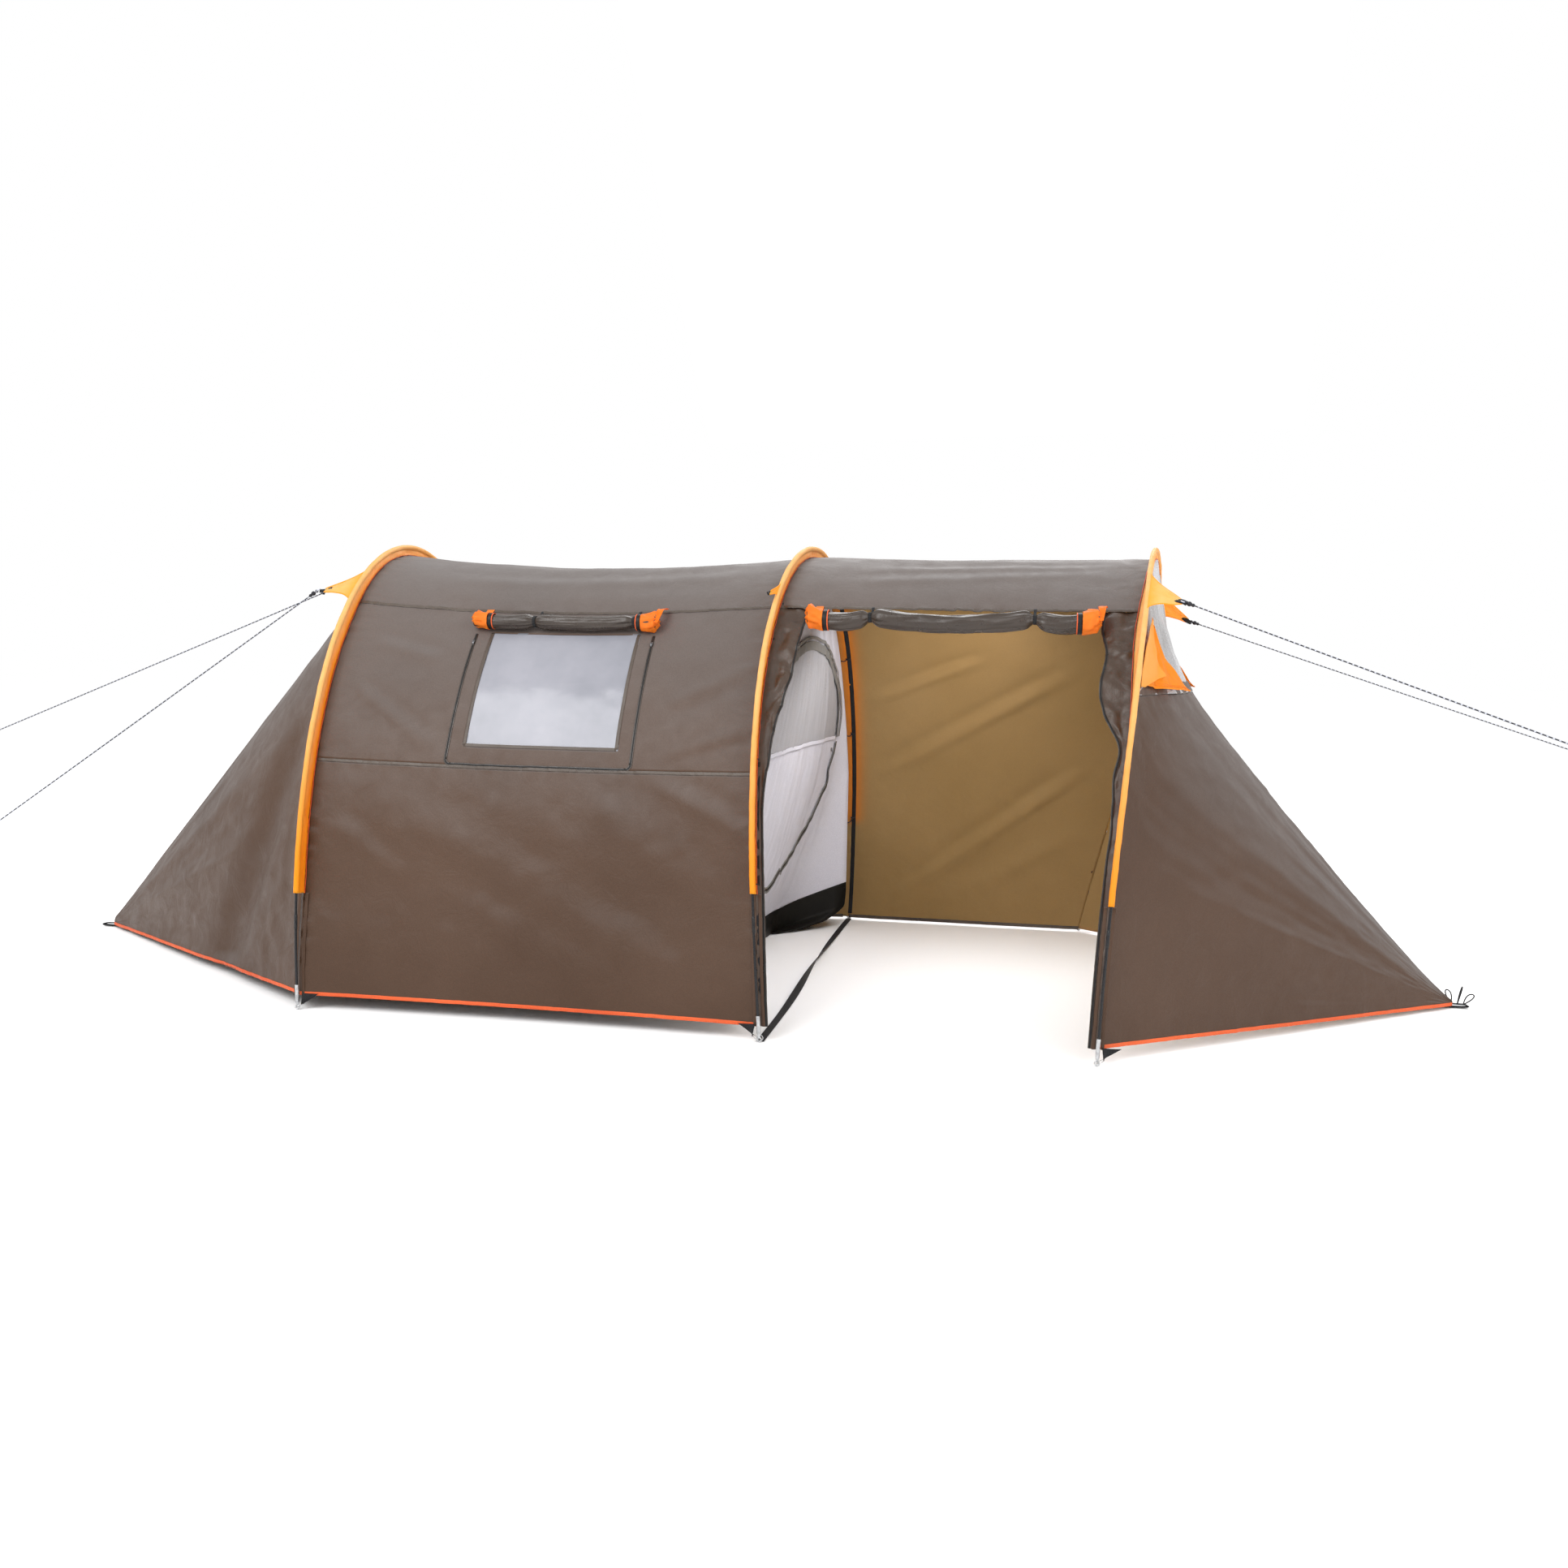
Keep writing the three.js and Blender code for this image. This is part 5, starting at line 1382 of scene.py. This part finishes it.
zip_top = outward(angle_at(1.195))
for slider_node in ("window_slider_rear", "window_slider_front"):
    make_slider(slider_node, (0, zip_top[2], -zip_top[1]), zip_top)
make_slider("inner_door_slider", (0, 0, 1), (1, 0, 0))


# ---- inner tent ----------------------------------------------------------------------------
INNER = {"side": 0.780, "clear": 0.004, "inset": 0.085, "rear_x": -1.130, "top_z": 1.385, "pull": 0.270,
         "rise": 0.100, "front": -0.022, "skew": 0.032, "top": 0.030, "tub": 0.090}
MOON = {"half": 0.620, "base": 0.820, "height": 0.360}


def arch_x(across):
    return HOOPS["middle"]["x"] + INNER["front"] + INNER["skew"] * across


def pull_at(across):
    return INNER["pull"] * (1 - np.abs(across) ** 10)


def inner_half(z):
    reach = 1 - (z / (POLE_TOP - INNER["inset"])) ** 2
    return np.minimum((FOOT_Y - INNER["inset"]) * np.sqrt(reach) - 0.012, INNER["side"])


def front_wall(across, z, lift=0.0):
    """A point of the inner tent's front wall, slack near the floor and drawn in at its top."""
    rise = INNER["rise"] * np.abs(across) ** 10
    z0 = INNER["tub"] + 0.001 + rise
    v = np.clip((z - z0) / (INNER["top_z"] - z0), 0, 1)
    half = inner_half(z)
    x = arch_x(across * half / INNER["side"]) - pull_at(across) * (1 - v) ** 2.2
    hang = 0.007 * noise(across * 7.5, z * 1.3, 241) + 0.003 * noise(across * 19, z * 3.2, 243)
    hang = hang + 0.0014 * noise(across * 40, z * 22, 245)
    slack = smooth((1 - np.abs(across)) / 0.12) * smooth((INNER["top_z"] - z) / 0.2) * smooth((z - z0) / 0.08)
    return points(x + lift + hang * slack, across * half, z)


def in_moon(at, grow):
    return (((at[..., 1] / (MOON["half"] + grow)) ** 2
             + ((at[..., 2] - MOON["base"] + grow) / (MOON["height"] + 2 * grow)) ** 2 < 1)
            & (at[..., 2] > MOON["base"] - grow))


def moon_line(grow, count=220):
    """The half-moon's outline on the wall: along its base and back over its arch."""
    turn = np.linspace(0, PI, count)
    y = np.concatenate([np.linspace(-1, 1, 90)[:-1] * (MOON["half"] + grow), (MOON["half"] + grow) * np.cos(turn)])
    z = np.concatenate([np.full(89, MOON["base"] - grow * 0.4),
                        MOON["base"] + (MOON["height"] + grow) * np.sin(turn)])
    return y, z


def on_front_wall(y, z, lift):
    return front_wall(y / inner_half(z), z, lift)


def make_inner_front():
    across = np.linspace(-1, 1, 200)[:, None]
    z0 = INNER["tub"] + 0.001 + INNER["rise"] * np.abs(across) ** 10
    z = z0 + (INNER["top_z"] - z0) * np.linspace(0, 1, 150)[None]
    surface = front_wall(across, z)
    centre = (surface[:-1, :-1] + surface[1:, 1:]) / 2
    wall = cloth("inner_front_wall_cloth", surface, INNER_WHITE, "inner_cloth", ["inner_front_wall"],
                 keep=~in_moon(centre, 0.0))
    declare(wall, surface, ~in_moon(centre, 0.0))
    ripple = 0.004 * noise(across * 26, z * 3 + across * 4, 251)
    netting = front_wall(across, z, 0.003 + ripple)
    keep = in_moon(centre, 0.008)
    mesh = cloth("inner_half_moon_net", netting, NET, "mesh_cloth", ["inner_half_moon_mesh"], thick=0.0006, keep=keep)
    y, z = moon_line(0.006)
    path = on_front_wall(y, z, 0.006)
    strip("inner_moon_hem", path[:89], (1, 0, 0), 0.014, 0.0020, INNER_WHITE, "inner_cloth")
    strip("inner_moon_band", path[89:], (1, 0, 0), 0.034, 0.0020, BAND, "mesh_cloth")
    y, z = moon_line(0.034)
    path = on_front_wall(y[89:], z[89:], 0.0065)
    strip("inner_moon_band_outer", path, (1, 0, 0), 0.012, 0.0030, BAND, "mesh_cloth")
    rows = np.flatnonzero(keep.any(1))
    columns = np.flatnonzero(keep.any(0))
    cut = netting[rows[0]:rows[-1] + 2, columns[0]:columns[-1] + 2]
    declare(mesh, cut, keep[rows[0]:rows[-1] + 1, columns[0]:columns[-1] + 1])


def make_inner_door_zip():
    """The inner door's zip runs round under the half moon, slack enough to lie in waves."""
    turn = np.linspace(0, PI, 220)
    y = 0.64 * np.cos(turn) * (1 + 0.04 * noise(turn * 8, turn * 0, 261))
    z = 0.800 - 0.560 * np.sin(turn) ** 0.8 + 0.034 * np.abs(noise(turn * 7, turn * 0, 263)) * np.sin(turn)
    path = on_front_wall(y, z, 0.0045)
    strip("inner_door_zip_flap", path, (1, 0, 0.1), 0.026, 0.0016, BAND, "mesh_cloth")
    make_zip("inner_door_zip", path + np.array([0.0012, 0, 0]), np.broadcast_to((1.0, 0, 0.1), path.shape), tape=0.010)


def make_inner_canopy():
    low = angle_at(INNER["tub"] + 0.008)
    angle, u = steps(low, PI - low, 0.013)[:, None], np.linspace(0, 1, 110)[None]
    front = hoop_point("middle", angle, np.full(angle.shape, INNER["inset"]))[..., 0] - INNER["top"]
    x = lerp(INNER["rear_x"] + 0.004, front, u)
    hang = 0.008 * noise(x * 2.2, angle * 5, 271) + 0.003 * noise(x * 7, angle * 17, 273)
    surface = bay_point("rear", x, angle, fly_inset(angle) - INNER["inset"] + hang * smooth(u * 8) * smooth((1 - u) * 8))
    side = INNER["side"] + INNER["clear"]
    surface[..., 1] = np.clip(surface[..., 1], -side, side)
    surface[..., 1] += 0.005 * noise(x * 6, surface[..., 2] * 1.4, 275) * (np.abs(surface[..., 1]) > side - 1e-6)
    piece = cloth("inner_canopy_cloth", surface, INNER_WHITE, "inner_cloth", ["inner_canopy"], flip=True)
    declare(piece, surface)


def make_inner_rear():
    across, t = np.linspace(-1, 1, 120)[:, None], np.linspace(0, 1, 90)[None]
    z = lerp(INNER["tub"] + 0.001, INNER["top_z"], t)
    hang = 0.006 * noise(across * 7, z * 1.5, 281) * smooth((1 - np.abs(across)) * 8)
    surface = points(INNER["rear_x"] + 0.001 + hang, across * (inner_half(z) - 0.002), z)
    piece = cloth("inner_rear_wall_cloth", surface, INNER_WHITE, "inner_cloth", ["inner_rear_wall"])
    declare(piece, surface)


def tub_edge(t):
    """The tub's outline on the floor: once round, from the rear near corner."""
    corners = [(0.0, -1.0), (1.0, -1.0), (1.0, 1.0), (0.0, 1.0), (0.0, -1.0)]
    k = np.minimum((t * 4).astype(int), 3)
    share = t * 4 - k
    a, b = np.array(corners)[k], np.array(corners)[k + 1]
    u, across = (a + (b - a) * share[:, None]).T
    x1 = arch_x(across) - pull_at(across)
    rise = INNER["rise"] * np.abs(across) ** 10 * u**20
    return points(lerp(INNER["rear_x"], x1, u), across * INNER["side"], rise)


def make_tub():
    t = np.linspace(0, 1, 401)
    rim = tub_edge(t)
    middle = np.array([-0.55, 0.0, 0.0])
    rings = []
    for share in (0.02, 0.2, 0.4, 0.55, 0.7, 0.82, 0.92, 0.97, 0.99):
        ring = middle + (rim - middle) * share
        ring[:, 2] = 0.0014 + rim[:, 2] * share**12 + 0.0012 * (1 + noise(ring[:, 0] * 9, ring[:, 1] * 9, 291)) * (share < 0.98)
        rings.append(ring)
    for height in np.linspace(0, 1, 12):
        ring = rim.copy()
        ring[:, 2] += 0.0014 + (INNER["tub"] + 0.004) * height
        inward = unit(middle - rim) * (0.0035 * noise(t * 90, t * 0 + height * 3, 293) + 0.006 * (1 - height) ** 2)[:, None]
        inward[:, 2] = 0
        rings.append(ring + inward)
    surface = np.array(rings)
    piece = cloth("inner_groundsheet_tub", surface, GROUND, "groundsheet_cloth", ["inner_groundsheet"], flip=False)
    declare(piece, surface)


def make_inner_hangers():
    """Black elastic hooks from the inner tent's front edge to the middle hoop."""
    for far in (False, True):
        for k, z in enumerate((0.46, 0.83, 1.14)):
            angle = far_side(angle_at(z), far)
            hoop = fly_at("middle", angle) - outward(angle) * 0.004
            across = 1.0 if far else -1.0
            edge = front_wall(np.array(across), np.array(z - 0.012), 0.002)
            t = np.linspace(0, 1, 20)[:, None]
            path = lerp(edge, hoop, t) - points(0.0, 0.0, 0.006 * np.sin(PI * t[:, 0]))
            tube(f"inner_hanger_{'far' if far else 'near'}_{k}", path, 0.0022, WEBBING, "webbing", 10)
            ring_mesh(f"inner_hook_{'far' if far else 'near'}_{k}", hoop, (1, 0, 0), tuple(outward(angle)), 0.0075, 0.0020,
                      PLASTIC, "black_plastic")


def make_inside_tapes():
    """Inside the middle hoop the seam is taped black."""
    angle = np.linspace(NEAR_HEM + 0.01, FAR_HEM - 0.01, 400)
    path = fly_at("middle", angle) - outward(angle) * 0.0026
    path[:, 0] += 0.004
    strip("middle_inside_tape", path, -outward(angle), 0.017, 0.0016, WEBBING, "webbing")


BAND = cloth_material("grey_band", (0.115, 0.110, 0.105), (0.235, 0.230, 0.220), 0.6)
make_inner_front()
make_inner_door_zip()
make_inner_canopy()
make_inner_rear()
make_tub()
make_inner_hangers()
make_inside_tapes()


# ---- studio --------------------------------------------------------------------------------
def make_studio():
    world = bpy.data.worlds.new("studio")
    bpy.context.scene.world = world
    world.use_nodes = True
    world.node_tree.nodes["Background"].inputs[0].default_value = (1, 1, 1, 1)
    world.node_tree.nodes["Background"].inputs[1].default_value = 1.0
    floor = bpy.data.objects.new("floor", bpy.data.meshes.new("floor"))
    floor.data.from_pydata([(-60, -60, 0), (60, -60, 0), (60, 60, 0), (-60, 60, 0)], [], [(0, 1, 2, 3)])
    bpy.context.scene.collection.objects.link(floor)
    floor.location.z = -0.0005
    nodes = Nodes("floor")
    nodes.set(Base_Color=(1, 1, 1, 1), Roughness=1.0, Specular_IOR_Level=0.0)
    floor.data.materials.append(nodes.material)
    for name, place, aim, size, power in (
        ("key", (-2.5, -5.5, 5.5), (0, 0, 0.6), 4.0, 330),
        ("fill", (5.5, -3.5, 3.5), (0.8, 0, 0.6), 4.0, 130),
        ("back", (0.5, 5.5, 5.0), (0, 0, 0.8), 5.0, 330),
        ("inside", (0.85, 0.0, 1.20), (0.78, 0.35, 0.2), 0.6, 9),
    ):
        lamp = bpy.data.lights.new(name, "AREA")
        lamp.size, lamp.energy = size, power
        light = bpy.data.objects.new(name, lamp)
        light.location = place
        light.visible_camera = name != "inside"
        light.rotation_euler = (Vector(aim) - Vector(place)).to_track_quat("-Z", "Y").to_euler()
        bpy.context.scene.collection.objects.link(light)
    bpy.context.scene.view_settings.view_transform = "Standard"


make_studio()
